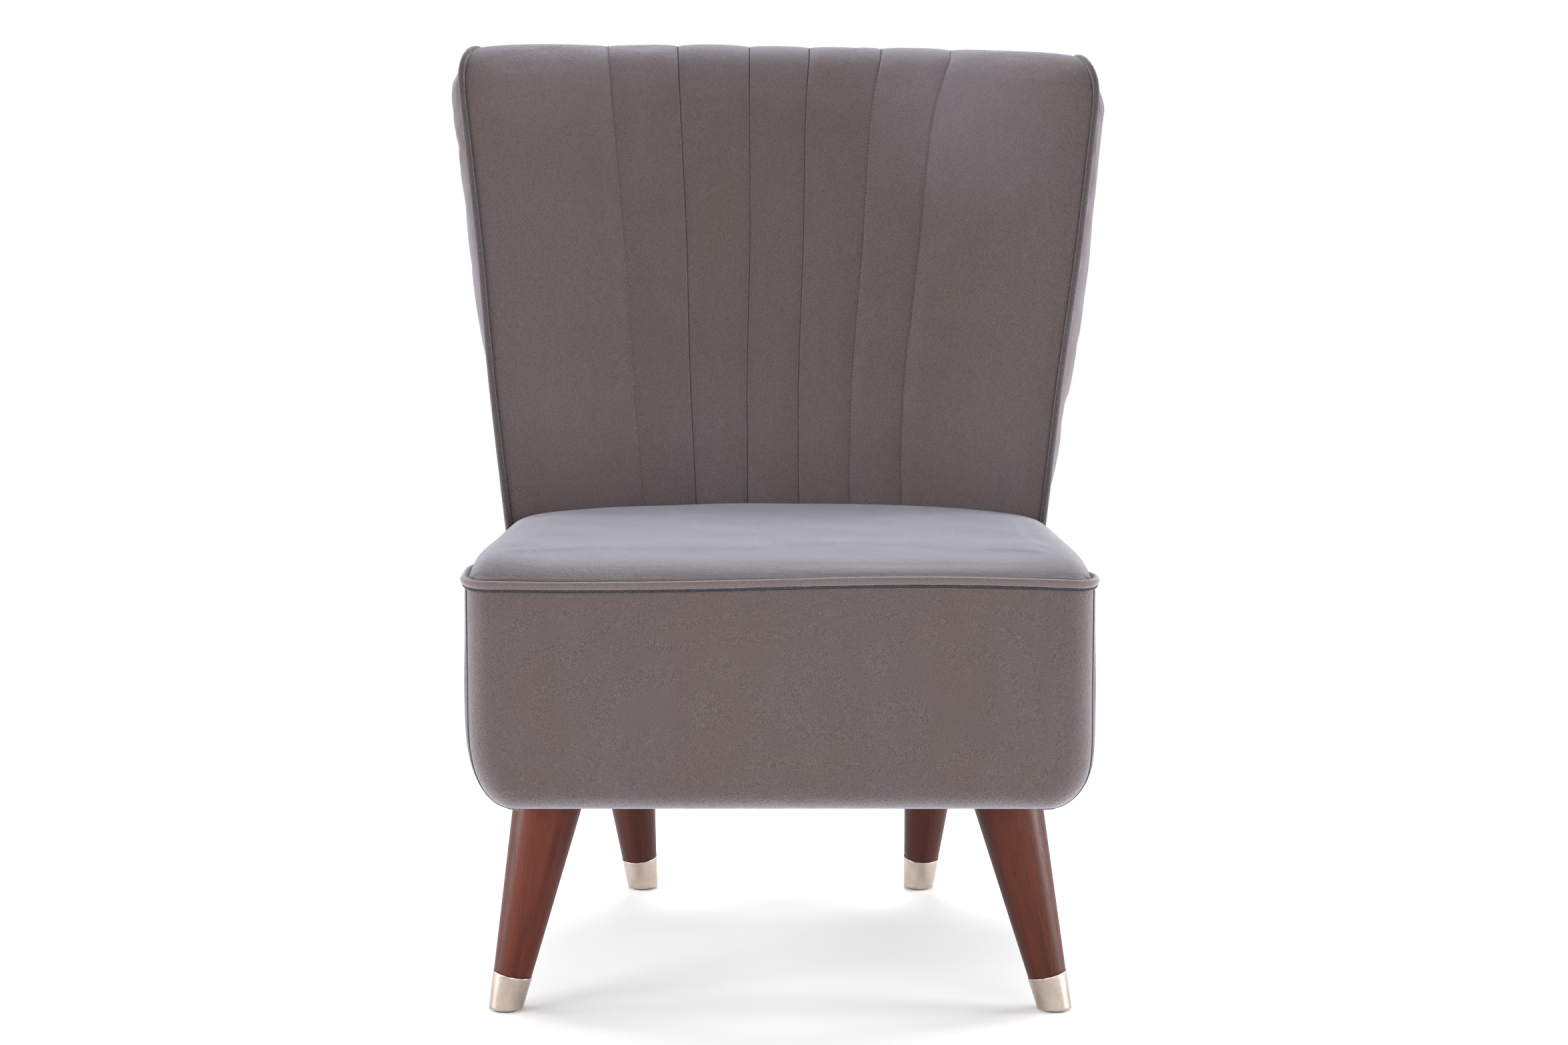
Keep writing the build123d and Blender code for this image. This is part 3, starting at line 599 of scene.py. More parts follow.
# %% Rows and columns of the inside back
channel_count = 5
seam_feet = np.array([0.0275, 0.082, 0.137])
seam_tops = np.array([0.033, 0.112, 0.188])
seam_drift = -0.0025
seam_bends = np.array([0.0034, 0.0074, 0.0136])
bend_rise = 0.18
seam_steps = np.array([0.0, 0.010, 0.024, 0.044, 0.075, 0.12, 0.18, 0.25, 0.33, 0.415])
channel_steps = np.concatenate([seam_steps, [0.5], 1 - seam_steps[:0:-1]])
wing_edge = [0.0, 0.010, 0.015, 0.018, 0.022, 0.028, 0.038, 0.055, 0.078]
wing_steps = np.concatenate([wing_edge, np.linspace(0.11, 0.86, 16)])
panel_steps = np.concatenate([wing_steps, 1 - seam_steps[7:0:-1] * 0.45])
front_levels = levels(back_foot, straight_count=78, round_count=22)
rear_levels = levels(outside_seam_height, straight_count=5, round_count=22)[-2::-1]


def stations(z, half, rear):
    """Distances across of the wing edges and the six seams, a row for each height; the right ones bend."""
    share = np.ones_like(z) if rear else (z - seat_edge) / (back_top - seat_edge)
    right = seam_feet + (seam_tops - seam_feet) * share[:, None]
    drift = (seam_drift * (1 - share))[:, None]
    bend = 1 - np.exp(-np.clip(share, 0, 1) / bend_rise)
    bend = bend * (1 - ramp(share, start=0.80, width=0.18) ** 2)
    pulled = right + drift - seam_bends * bend[:, None]
    return np.concatenate([-half[:, None], -right[:, ::-1] + drift, pulled, half[:, None]], axis=1)


def inside_back_rows():
    """Plain surface, front then rear rows, its fading swell, channels, shares and distances to a wing."""
    last_panel = np.append(0.0, (1 - panel_steps)[::-1])
    steps = [panel_steps] + [channel_steps[:-1]] * channel_count + [last_panel]
    channel = np.repeat(np.arange(len(steps)), [len(step) for step in steps])
    share = np.concatenate(steps)
    parts = []
    for z, rear in ((front_levels, False), (rear_levels, True)):
        front_corner, rear_corner, roll_share = wing_corners(z)
        half, edge = rear_corner if rear else front_corner
        middle = rolled(z, inside_middle, outside_middle)[int(rear)]
        lines = stations(z, half, rear)
        across = lines[:, channel] + share * (lines[:, channel + 1] - lines[:, channel])
        depth = bow(across, half[:, None], edge[:, None], middle[:, None])
        fade = 0.5 * np.linspace(1, 0, len(z)) if rear else 0.5 + 0.5 * roll_share
        parts.append((in_frame(across, depth, z[:, None]), fade, half[:, None] - np.abs(across)))
    points, fade, from_wing = (np.concatenate(values) for values in zip(*parts))
    return points, fade, channel, share, from_wing


plain_back, back_fade, back_channel, back_share, from_wing = inside_back_rows()
seam_columns = np.flatnonzero((back_share == 0) & (back_channel > 0))
print("inside back", plain_back.shape[:2], "rows and columns, seams in columns", seam_columns)

# %% Swell of the channels
seam_fill = 0.40
channel_swell = 0.0085
wing_fade = 0.016
wing_turn = 0.0040
slow_wave = 0.0010


def pillow(to_seam):
    """Fullness of a channel, from one at its middle (0) down to the filled seam (1): flat, then steep."""
    return seam_fill + (1 - seam_fill) * (1 - to_seam**2.6) ** 0.42


back_normals = unit(np.cross(np.gradient(plain_back, axis=1), np.gradient(plain_back, axis=0)))
back_normals *= -np.sign(back_normals[5, 5, 1])
wide_panel = (back_channel == 0) | (back_channel > channel_count)
seam_distance = np.where(back_channel == 0, 1 - back_share, back_share)
narrow = pillow(np.abs(2 * back_share - 1))
wide = pillow(1 - ramp(seam_distance, start=0, width=0.40))
fullness = np.where(wide_panel, wide, narrow)
swell = fullness * (channel_swell * back_fade[:, None])
swell = swell * np.where(wide_panel, 1 - np.exp(-from_wing / wing_fade), 1)
swell = swell - wing_turn * fade_above(from_wing, place=0.0026, width=0.0004)
swell = swell + slow_wave * ripple(plain_back[..., 0], plain_back[..., 2], size=0.21, seed=0.6) * fullness
print("channels swell up to", round(float(swell.max()) * 1000, 1), "mm")

# %% Make and settle the inside back
inside_back = grid_piece("inside_back", hand_made(plain_back + back_normals * swell[..., None]), (0, -1, 0))
held_edge = 0.006
held_back = from_wing < held_edge
held_back[[0, -1], :] = True
for beside in (-1, 0, 1):
    held_back[:, seam_columns + beside] = True
settle(inside_back, held_back.ravel(), cap=0.0009, slack=0.001)
settled_back = coordinates(inside_back.data).reshape(plain_back.shape)
thicken(inside_back)
dress(inside_back, back_velvet_painted_light, "velvet", "inside_back_cover", "back_foam")

# %% [markdown]
# ## Side facings
# Each wing ends in a long facing, from the front piping to the rear piping, that is stuffed a little
# round. At one height it is a line between the wing's two corners, pushed outwards; over the round top
# the line shrinks to a point. The cloth here is cut with slack, and near the upper end it shows a few
# short puckers. The two sides were not stuffed alike, so each has its own fit.

# %% Make the side facings
facing_bulge = 0.0266
facing_setback = 0.0035
facing_foot_fade = 0.030
pucker_height = 0.85
pucker_pitch = 0.021
pucker_slant = 0.10
facing_fits = {
    -1: {"drawn_in": 0.62, "below": 0.62, "over": 0.045, "top_fade": 0.047, "pucker": 0.0013},
    1: {"drawn_in": 0.90, "below": 0.45, "over": 0.070, "top_fade": 0.062, "pucker": 0.000585},
}
facing_levels = levels(back_foot, straight_count=56, round_count=22)
facing_steps = (1 - np.cos(np.linspace(0, np.pi, 25))) / 2


def facing_points(side):
    """Line between the wing's corners, pushed out by a bulge that fades below the top, with puckers."""
    (half, front), (back_half, rear), _ = wing_corners(facing_levels)
    fit = facing_fits[side]
    t = facing_steps[None, :]
    z = facing_levels[:, None]
    near_top = ease(ramp(z, back_top, -fit["top_fade"]))
    pulled_in = 1 - fit["drawn_in"] * fade_above(z, fit["below"], fit["over"])
    near_foot = 1 - np.exp(-(z - back_foot) / facing_foot_fade)
    bulge = facing_bulge * pulled_in * near_foot * near_top
    across = half[:, None] + t * (back_half - half)[:, None] + bulge * (4 * t * (1 - t)) ** 0.7
    set_back = np.minimum(facing_setback, 0.25 * (rear - front))
    depth = (front + set_back)[:, None] + t * (rear - front - set_back)[:, None]
    slanted = z + pucker_slant * t
    pucker = np.sin(2 * np.pi * slanted / pucker_pitch) * bump_near(z - pucker_height, width=0.045)
    across = across + fit["pucker"] * pucker * np.sin(np.pi * t)
    return hand_made(in_frame(side * across, depth, z))


for side, name in both_sides:
    points = facing_points(side)
    facing = grid_piece(f"wing_facing_{name}", points, (side, 0, 0))
    held = np.zeros(points.shape[:2], bool)
    held[[0, -1], :] = True
    held[:, [0, -1]] = True
    settle(facing, held.ravel(), cap=0.0028, slack=0.012, bending=0.2)
    soften(facing)
    thicken(facing)
    dress(facing, velvet, "velvet", f"side_facing_{name}")

# %% [markdown]
# ## Outside back
# A plain panel closes the back. It is a single bowed sheet from the cross seam below the top to the base,
# drawn tight over the frame, so it only carries a slow ripple.

# %% Make the outside back
outside_rows = 46
outside_billow = 0.0022
outside_levels = np.linspace(back_foot, outside_seam_height, outside_rows)
outside_steps = np.linspace(-1, 1, 61)


def velvet_panel(name, points, towards, *stands_for):
    """Tightly padded velvet panel on a grid of points."""
    panel = grid_piece(name, points, towards)
    soften(panel)
    thicken(panel)
    dress(panel, velvet, "velvet", *stands_for)


def outside_points():
    """Arc from wing to wing at each height, billowed out by a slow ripple that fades at the edges."""
    _, (half, edge), _ = wing_corners(outside_levels)
    middle = rolled(outside_levels, inside_middle, outside_middle)[1]
    z = outside_levels[:, None]
    across = half[:, None] * outside_steps
    arch = np.sin(np.pi * np.linspace(0.06, 0.94, outside_rows))[:, None]
    from_edge = (1 - outside_steps**8) * arch**0.3
    billow = outside_billow * from_edge * (1 + 0.6 * ripple(across, z, size=0.26, seed=1.1))
    return in_frame(across, bow(across, half[:, None], edge[:, None], middle[:, None]) + billow, z)


velvet_panel("outside_back", hand_made(outside_points()), (0, 1, 0), "outside_back_cover", "back_wadding")

# %% [markdown]
# ## Base panels
# The seat stands in a padded box. Its front panel turns over a 24 mm edge into the sides and the
# underside, and the sides roll under with a larger curve, so the front shows two soft lower corners.
# Front and sides share the same rows: straight down, then round the lower corner. The front asks how far
# a point is from the outline, and falls back along a quarter circle over the last 24 mm. The corner seam
# is a column of that same surface, just inside the edge, so the side panel starts with a strip of the
# front's own shape and goes on along the side.

# %% Rows shared by the base panels
roll_in = 0.0495
roll_up = 0.090
roll_power = 2.4
front_round = 0.024
seam_inset = 0.0022
seam_sink = 0.0016
flange = 0.050
shelf_drop = 0.0022
straight_start = 0.022
edge_drops = shelf_drop + np.array([0.0, 0.0, 0.0, 0.0003, 0.0008, 0.002, 0.006, 0.012])
edge_tucks = np.array([0.0070, 0.0020, 0.0008, 0.0003, 0.0001, 0.0, 0.0, 0.0])
upright_rows = np.append(
    border_top - edge_drops,
    np.linspace(border_top - straight_start, underside + roll_up, 14, endpoint=False),
)
roll_angles = np.linspace(0, np.pi / 2, 26)
roll_heights = 1 - np.sin(roll_angles) ** (2 / roll_power)
roll_insets = 1 - np.cos(roll_angles) ** (2 / roll_power)
shelf_steps = np.linspace(0, 1, 5)[1:]
row_heights = np.append(upright_rows, underside + roll_up * roll_heights)
row_insets = np.append(np.zeros(len(upright_rows)), roll_in * roll_insets)
row_tucks = np.append(edge_tucks, np.zeros(len(row_heights) - len(edge_tucks)))
corner_half = front_half - side_slope * front_round
seam_share = 1 - seam_inset / corner_half
print("base panels have", len(row_heights), "rows and a shelf of", len(shelf_steps))

# %% [markdown]
# The seat's seam was sewn by hand as well. It makes one shallow wave across the front and rises behind
# both corners. The border follows it, less and less downwards, and the lower right corner is stuffed a
# little fuller.

# %% The wandering seam
wave_foot = 0.28
wave_size = 0.0026
wave_rate = 10.1
wave_lift = 0.0016
wave_bow = 0.010
wave_ends = 0.29
corner_rises = (0.0054, 0.0028)
corner_depth = 0.065
corner_fullness = 0.0045
full_height = 0.026


def upper_share(z):
    """Zero on the lower border, then straight up to one at its top."""
    return ramp(z, wave_foot, border_top - wave_foot)


def edge_wave(across, depth):
    """How far the seam wanders up: a wave across the front, and a rise behind each corner."""
    wave = wave_size * np.sin(wave_rate * across) + wave_lift - wave_bow * across**2 - wave_ends * across**4
    corner_rise = np.where(across < 0, *corner_rises) * ramp(np.abs(across), start=0.22, width=0.06)
    behind = lopsided(depth, corner_depth, before=0.05, after=0.15)
    return wave * ramp(depth, start=0.03, width=-0.03) + corner_rise * behind


def waved(points):
    """Points of the base that follow the seam, less and less downwards, and fill the lower right corner."""
    x, depth, z = points[..., 0], points[..., 1] - front_y, points[..., 2]
    lift = upper_share(z) ** 2 * edge_wave(x, depth)
    fuller = corner_fullness * bump_near(z - underside - full_height, width=0.034)
    fuller = fuller * ramp(x, start=0.19, width=0.06) * ramp(depth, start=0.35, width=-0.35)
    return points + np.stack([fuller, np.zeros_like(x), lift], axis=-1)


# %% Front panel
panel_swell = 0.0045
panel_ripple = 0.0011


def front_face(shares):
    """Front panel at shares of its half-width: it rounds back near the outline and swells a little."""
    outline = (corner_half - row_insets)[:, None]
    across = outline * shares
    z = row_heights[:, None]
    into_roll = np.clip((np.abs(across) - corner_half + roll_in) / roll_in, 0, 1)
    outline_low = underside + roll_up * (1 - (1 - into_roll**roll_power) ** (1 / roll_power))
    level = np.maximum(outline - np.abs(across), 1e-9)
    plumb = np.maximum(z - outline_low, 1e-9)
    distance = level * plumb / np.hypot(level, plumb)
    fall = np.clip(front_round - distance, 0, front_round)
    back = front_round - np.sqrt(np.clip(front_round**2 - fall**2, 0, None))
    arch = np.sin(np.pi * ramp(z, underside, border_top - underside))
    swell = panel_swell * arch**0.7 * (1 - shares**4)
    uneven = panel_ripple * arch * ripple(across, z, size=0.19, seed=2.2) * (1 - shares**6)
    seam = seam_sink * bump_near((np.abs(shares) - seam_share) * corner_half, width=0.0014)
    return in_frame(across, back - swell - uneven + row_tucks[:, None] + seam, z)


face = front_face(seam_share * np.sin(np.linspace(-np.pi / 2, np.pi / 2, 85)))
shelf = face[-1:] + shelf_steps[:, None, None] * np.array([0, flange - front_round, 0])
front_points = waved(np.concatenate([face, shelf]))
velvet_panel("front_panel", front_points, (0, -1, 0), "front_border", "base_wadding")

# %% [markdown]
# The sides and the rear follow the plan of the base: a straight taper, a round corner and a bowed rear.
# Each point of that path knows its outward direction, so the profile, straight down and rolled under, is
# carried along it. At the rear the roll is tighter.

# %% Plan of the sides and the rear
rear_corner = 0.060
rear_roll = 0.020
rear_seam_depth = 0.505
border_swell = 0.0024
line_count, turn_count, sweep_count = 34, 16, 28


def on_circle(angles):
    """Points at angles on a circle of radius one."""
    return np.stack([np.cos(angles), np.sin(angles)], axis=-1)


def base_path():
    """Right half of the plan, from the front seam to the rear middle: places, ways out and rear share."""
    rear_bow = base_depth - side_length
    arc_radius = (rear_half**2 + rear_bow**2) / (2 * rear_bow)
    arc_centre = np.array([0, base_depth - arc_radius])
    outward = np.array([1, side_slope]) / np.hypot(1, side_slope)
    start = np.array([front_half, 0]) - rear_corner * outward
    along = np.array([-side_slope, 1])
    to_start = start - arc_centre
    a, b = along @ along, 2 * along @ to_start
    c = to_start @ to_start - (arc_radius - rear_corner) ** 2
    reach = (-b + np.sqrt(b * b - 4 * a * c)) / (2 * a)
    centre = start + reach * along
    first_angle = np.arctan2(outward[1], outward[0])
    last_angle = np.arctan2(centre[1] - arc_centre[1], centre[0])
    depths = np.linspace(front_round, reach, line_count, endpoint=False)
    line = np.stack([front_half - side_slope * depths, depths], axis=-1)
    turn = on_circle(np.linspace(first_angle, last_angle, turn_count, endpoint=False))
    sweep = on_circle(np.linspace(last_angle, np.pi / 2, sweep_count))
    places = np.concatenate([line, centre + rear_corner * turn, arc_centre + arc_radius * sweep])
    directions = np.concatenate([np.broadcast_to(outward, line.shape), turn, sweep])
    turned_share = np.linspace(0, 1, turn_count, endpoint=False)
    rear_share = np.concatenate([np.zeros(line_count), turned_share, np.ones(sweep_count)])
    return places, directions, ease(rear_share)


def carried_profile(stretch, seam_depth):
    """The border's profile carried along a stretch of the plan: down the border, then in under it."""
    places, directions, rear_share = (values[stretch] for values in plan)
    deep = roll_in + (rear_roll - roll_in) * rear_share
    tall = roll_up + (rear_roll - roll_up) * rear_share
    reach = (border_top - underside - tall) / (border_top - underside - roll_up)
    upright = border_top - (border_top - upright_rows)[:, None] * reach
    under = deep + shelf_steps[:, None] * (flange - deep)
    rolled_under = underside + tall * roll_heights[:, None]
    height = np.concatenate([upright, rolled_under, np.full_like(under, underside)])
    inset = np.concatenate([np.zeros_like(upright), deep * roll_insets[:, None], under])
    inset[: len(edge_tucks)] += edge_tucks[:, None]
    inset = inset + seam_sink * bump_near(places[:, 1] - seam_depth, width=0.0022)
    arch = np.sin(np.pi * ramp(height, underside, border_top - underside))
    swell = border_swell * arch**0.7 * (1 + 0.5 * ripple(travelled(places), height, size=0.22, seed=0.4))
    flat = places + (swell - inset)[..., None] * directions
    fall = edge_fall * np.clip(places[:, 1], 0, side_length) * upper_share(height)
    return in_frame(flat[..., 0], flat[..., 1], height - fall)


plan = base_path()
side_end = np.flatnonzero(plan[0][:, 1] <= rear_seam_depth)[-1] + 1
print("plan of", len(plan[0]), "places, of which", side_end, "are on the side")

# %% Side panels and rear panel
strip_shelf_depth = 0.0004
strip = front_face(seam_share + (1 - seam_share) * np.sin(np.linspace(0, np.pi / 2, 9)[:-1]))
strip_shelf = np.repeat(strip[-1:], len(shelf_steps), axis=0)
strip_shelf[..., 1] += strip_shelf_depth * shelf_steps[:, None]
long_side = carried_profile(slice(None, side_end), rear_seam_depth)
right_side = np.concatenate([np.concatenate([strip, strip_shelf]), long_side], axis=1)
for side, name in both_sides:
    side_points = right_side * np.array([side, 1, 1])
    side_points[..., 0] += edge_drift * (side_points[..., 1] - front_y) * upper_share(side_points[..., 2])
    velvet_panel(f"side_panel_{name}", waved(side_points), (side, 0, 0), f"side_border_{name}")

half_rear = carried_profile(slice(side_end - 1, None), plan[0][side_end - 1, 1])
rear_points = np.concatenate([half_rear, (half_rear * np.array([-1, 1, 1]))[:, -2::-1]], axis=1)
velvet_panel("rear_panel", rear_points, (0, 1, 0), "rear_border")

# %% [markdown]
# ## Seat
# The seat is one crowned pad. In plan it is a grid from the front edge to the curve of the back, with its
# front corners rounded by squeezing a square corner into a quarter disc. Its height rises quickly from
# the front and the sides and then levels off, a little fuller behind the front edge, and the whole pad
# falls to the rear with its seam. Along the sides it hangs over its piping. A flat underside closes it,
# so that the cloth can be blown up like a real cushion.

# %% Plan of the seat pad
seat_inset = 0.0050
side_inset = 0.0005
side_overhang = 0.0045
front_taper = 0.0030
seat_clear = 0.0105
seat_corner = 0.013
seat_columns = 101
seat_rows = 81


def seat_plan():
    """Places of the pad across and in depth, and their distances from the side, the front and the rear."""
    a = np.sin(np.linspace(-np.pi / 2, np.pi / 2, seat_columns))[None, :]
    b = ((1 - np.cos(np.linspace(0, np.pi, seat_rows))) / 2)[:, None]
    edge_depth = wing_front(seat_edge) - piping_radius - seat_clear
    rear_width = front_half - side_slope * edge_depth - side_inset
    rear_depth = bow(a * rear_width, rear_width, edge_depth, inside_middle(seat_edge) - seat_clear)
    depth = seat_inset + b * (rear_depth - seat_inset)
    half = front_half - side_slope * depth - side_inset
    half = half - front_taper * bump_near(depth, width=0.09)
    half = half + side_overhang * ramp(depth, start=0.06, width=0.12)
    across = a * half
    from_side = half - np.abs(across)
    from_front = depth - seat_inset
    from_rear = rear_depth - depth
    side_part = np.clip(seat_corner - from_side, 0, None)
    front_part = np.clip(seat_corner - from_front, 0, None)
    square = np.maximum(side_part, front_part)
    length = np.maximum(np.hypot(side_part, front_part), 1e-9)
    squeeze = np.where((side_part > 0) & (front_part > 0), square / length, 1)
    reach = half - seat_corner + side_part * squeeze + np.minimum(seat_corner - from_side, 0)
    depth = seat_inset + seat_corner - front_part * squeeze + np.maximum(from_front - seat_corner, 0)
    return np.sign(across) * reach, depth, from_side, from_front, from_rear


seat_across, seat_depth, from_side, from_front, from_rear = seat_plan()
print("seat pad", seat_across.shape, "rows and columns,", round(float(seat_depth.max()), 3), "m deep")

# %% Crown of the seat pad
seat_crown = 0.0195
edge_sink = 0.001
front_reach = 0.019
front_swell = 0.0036
seat_ripple = 0.0010


def crown(distance, reach):
    """Share of the full crown at a distance from an edge: steep at first, then level."""
    return 1 - np.exp(-((np.maximum(distance, 0) / reach) ** 0.74))


side_reach = 0.0045 + 0.0085 * ramp(seat_depth, start=0.22, width=0.18)
softer_reach = np.where(seat_across > 0, 0.0052, 0.0046)
side_reach = side_reach + softer_reach * bump_near(seat_depth - 0.18, width=0.10)
rise = crown(from_side, side_reach) * crown(from_front, front_reach)
seat_fullness = seat_crown + seat_ripple * ripple(seat_across, seat_depth, size=0.20, seed=3.1)
seat_fullness = seat_fullness + front_swell * lopsided(from_front, peak=0.045, before=0.05, after=0.17)
seat_height = seat_edge - edge_sink - edge_fall * seat_depth + seat_fullness * rise
seat_height = seat_height + edge_wave(seat_across, seat_depth)
seat_top = in_frame(seat_across + edge_drift * seat_depth, seat_depth, seat_height).reshape(-1, 3)
print("seat crown reaches", round(float(seat_top[:, 2].max()), 4), "m")

# %% Close and settle the seat pad
pad_foot = border_top - 0.030
foot_share = 0.972
undercut_drop = 0.0045
held_rim = 0.004
seat_bottom = seat_top * np.array([foot_share, 1, 0]) + np.array([0, 0, pad_foot])
seat_index = np.arange(len(seat_top)).reshape(seat_rows, seat_columns)
ring = np.concatenate([
    seat_index[0, :-1], seat_index[:-1, -1], seat_index[-1, :0:-1], seat_index[:0:-1, 0],
])
undercut = seat_bottom[ring]
undercut[:, 2] = seat_top[ring, 2] - undercut_drop
ring_levels = [ring, 2 * len(seat_top) + np.arange(len(ring)), ring + len(seat_top)]
walls = [
    np.stack([upper, lower, np.roll(lower, -1), np.roll(upper, -1)], axis=-1)
    for upper, lower in zip(ring_levels[:-1], ring_levels[1:])
]
top_quads = grid_quads(seat_rows, seat_columns)
seat_quads = np.concatenate([top_quads, top_quads[:, ::-1] + len(seat_top), *walls])
seat_points = np.concatenate([seat_top, seat_bottom, undercut])
seat_pad = make_piece("seat_pad", seat_points, seat_quads)
held_seat = np.ones(len(seat_points), bool)
held_seat[: len(seat_top)] = (np.minimum(np.minimum(from_side, from_front), from_rear) < held_rim).ravel()
settle(seat_pad, held_seat, cap=0.0008)
soften(seat_pad)
dress(seat_pad, velvet, "velvet", "seat_cover", "seat_foam", "insulator_felt")

# %% [markdown]
# ## Piping
# Piping is a cord wrapped in the same velvet and sewn into the seam. A tube is a circle carried along a
# path, with the circle set square to the path at every point. Its thickness wanders a little, as the wrap
# does. The seat piping goes round the front corners and in under the pad; the back piping goes up each
# wing, over its round top and down again behind.

# %% Cords along a path
path_step = 0.004


def spread(places, length, values):
    """Values given at distances along a path, read at other places on it."""
    return np.stack([np.interp(places, length, values[:, axis]) for axis in range(3)], axis=-1)


def even_path(points, step=path_step):
    """Points spread evenly along a path, and their distances along it."""
    length = travelled(points)
    places = np.linspace(0, length[-1], int(length[-1] / step) + 1)
    return spread(places, length, points), places


def cord(name, path, radius, sides, reference, finish, slot, *stands_for):
    """Circle carried along a path, each ring square to it and turned by a reference, closed to a point."""
    tangent = unit(np.gradient(path, axis=0))
    first = unit(np.cross(tangent, np.array(reference, float)))
    second = np.cross(tangent, first)
    turn = np.linspace(0, 2 * np.pi, sides, endpoint=False)[None, :, None]
    ring = np.cos(turn) * first[:, None] + np.sin(turn) * second[:, None]
    rings = path[:, None] + np.reshape(radius, (-1, 1, 1)) * ring
    ends = np.broadcast_to(path[[0, -1], None], (2, sides, 3))
    points = np.concatenate([ends[:1], rings, ends[1:]])
    dress(grid_piece(name, points, round_columns=True), finish, slot, *stands_for)


# %% Seat piping
piping_inset = 0.001
piping_tuck = 0.003
piping_drop = 0.004
piping_end = 0.002


def seat_piping_path(hides_from, hides_over):
    """Half of the seat piping: from the middle of the front, round the corner, and in under the pad."""
    half = front_half - piping_inset
    inner = half - front_round
    corner = on_circle(np.linspace(-np.pi / 2, 0, 14))
    front = np.stack([np.linspace(0, inner, 60, endpoint=False), np.full(60, piping_inset)], axis=-1)
    bend = np.array([inner, piping_inset + front_round]) + front_round * corner
    depths = np.linspace(piping_inset + front_round, wing_front(seat_edge) - piping_end, 60)[1:]
    side = np.stack([half - side_slope * (depths - front_round), depths], axis=-1)
    across, depth = np.concatenate([front, bend, side]).T
    under = ease(ramp(depth, hides_from, hides_over))
    height = seat_edge - edge_fall * depth - piping_drop * under
    return in_frame(across - piping_tuck * under, depth, height)


left_piping = seat_piping_path(0.05, 0.09) * np.array([-1, 1, 1])
whole_piping = np.concatenate([left_piping[:0:-1], seat_piping_path(0.025, 0.06)])
piping_path, piping_places = even_path(whole_piping)
piping_path[:, 0] += edge_drift * (piping_path[:, 1] - front_y)
piping_path[:, 2] += edge_wave(piping_path[:, 0], piping_path[:, 1] - front_y)
piping_girth = piping_radius * (1 + 0.05 * ripple(piping_places, 0, size=0.06, seed=1.9))
cord(
    "seat_piping_cord", piping_path, piping_girth, 18, (0, 0, 1),
    seat_piping_velvet_painted_light, "piping", "seat_piping",
)

# %% Back piping
back_piping_radius = 0.0034
piping_proud = 0.0015
piping_levels = levels(back_foot, straight_count=90, round_count=26)
(piping_half, piping_front), (piping_back_half, piping_rear), _ = wing_corners(piping_levels)
for side, name in both_sides:
    rise_path = in_frame(side * piping_half, piping_front - piping_proud, piping_levels)
    fall_path = in_frame(side * piping_back_half, piping_rear + piping_proud, piping_levels)
    wing_path, wing_places = even_path(hand_made(np.concatenate([rise_path[:-1], fall_path[-2::-1]])))
    girth = back_piping_radius * (1 + 0.04 * ripple(wing_places, 0, size=0.07, seed=0.5 + side))
    cord(
        f"back_piping_cord_{name}", wing_path, girth, 16, (1, 0, 0),
        back_piping_velvet_painted_shade, "piping", f"back_piping_{name}",
    )

# %% [markdown]
# ## Seams in shadow
# Where the piping is sewn in, the seam lies in shade as a dark line: along the front under the seat
# piping, and down the two corners of the base. The four inner seams of the channels close over their
# stitches and lie in shade in the same way, most of all over the top. A thin cord of dark velvet without
# sheen lies in each of these seams: painted shade.

# %% Painted shade: dark cords in the seams
shadow_cord_radius = 0.0021
shadow_cord_out = 0.0004
shadow_cord_drop = 0.0002
corner_seam_radius = 0.0009
crease_shade_radius = 0.00032
inward = np.cross([0, 0, 1], unit(np.gradient(piping_path, axis=0)))
shadow_cord_path = piping_path - shadow_cord_out * inward - np.array([0, 0, piping_radius + shadow_cord_drop])
cord("seat_piping_painted_shadow", shadow_cord_path, shadow_cord_radius, 10, (0, 0, 1), painted_shade_velvet, "piping")
for column, name in ((0, "left"), (-1, "right")):
    corner_path, _ = even_path(front_points[len(edge_drops) - 3:len(row_heights), column])
    cord(f"corner_painted_shadow_{name}", corner_path, corner_seam_radius, 8, (1, 0, 0), painted_shade_velvet, "velvet")

shown_rows = slice(2, len(front_levels) + len(rear_levels) - 4)
for number, column in enumerate(seam_columns[1:5], start=2):
    crease_path, _ = even_path(settled_back[shown_rows, column])
    crease_girth = crease_shade_radius * (1 + 2.0 * ramp(crease_path[:, 2], start=0.85, width=0.05))
    cord(f"channel_painted_shadow_{number}", crease_path, crease_girth, 8, (1, 0, 0), painted_shade_velvet, "velvet")

# %% [markdown]
# ## Stitches
# Fine stitches show along the outermost seams of the channels, and along the one beside the right-hand
# seam. One stitch is a small capsule, a few dozen faces, and all of a seam's are placed at once: the seam
# gives places, directions and normals at an even pitch.

# %% Stitches along the channels
stitch_pitch = 0.0042
stitch_length = 0.0030
stitch_radius = 0.00035
stitch_lift = 0.0014
capsule_sides = 6


def capsule():
    """One stitch along X: rings of six points that taper to both ends."""
    along = np.array([-0.5, -0.42, -0.2, 0.2, 0.42, 0.5]) * stitch_length
    girth = np.array([0.0, 0.75, 1.0, 1.0, 0.75, 0.0]) * stitch_radius
    ring = on_circle(np.linspace(0, 2 * np.pi, capsule_sides, endpoint=False))
    spine = np.broadcast_to(along[:, None, None], (len(along), capsule_sides, 1))
    points = np.concatenate([spine, girth[:, None, None] * ring], axis=-1)
    return points.reshape(-1, 3), grid_quads(len(along), capsule_sides, True)


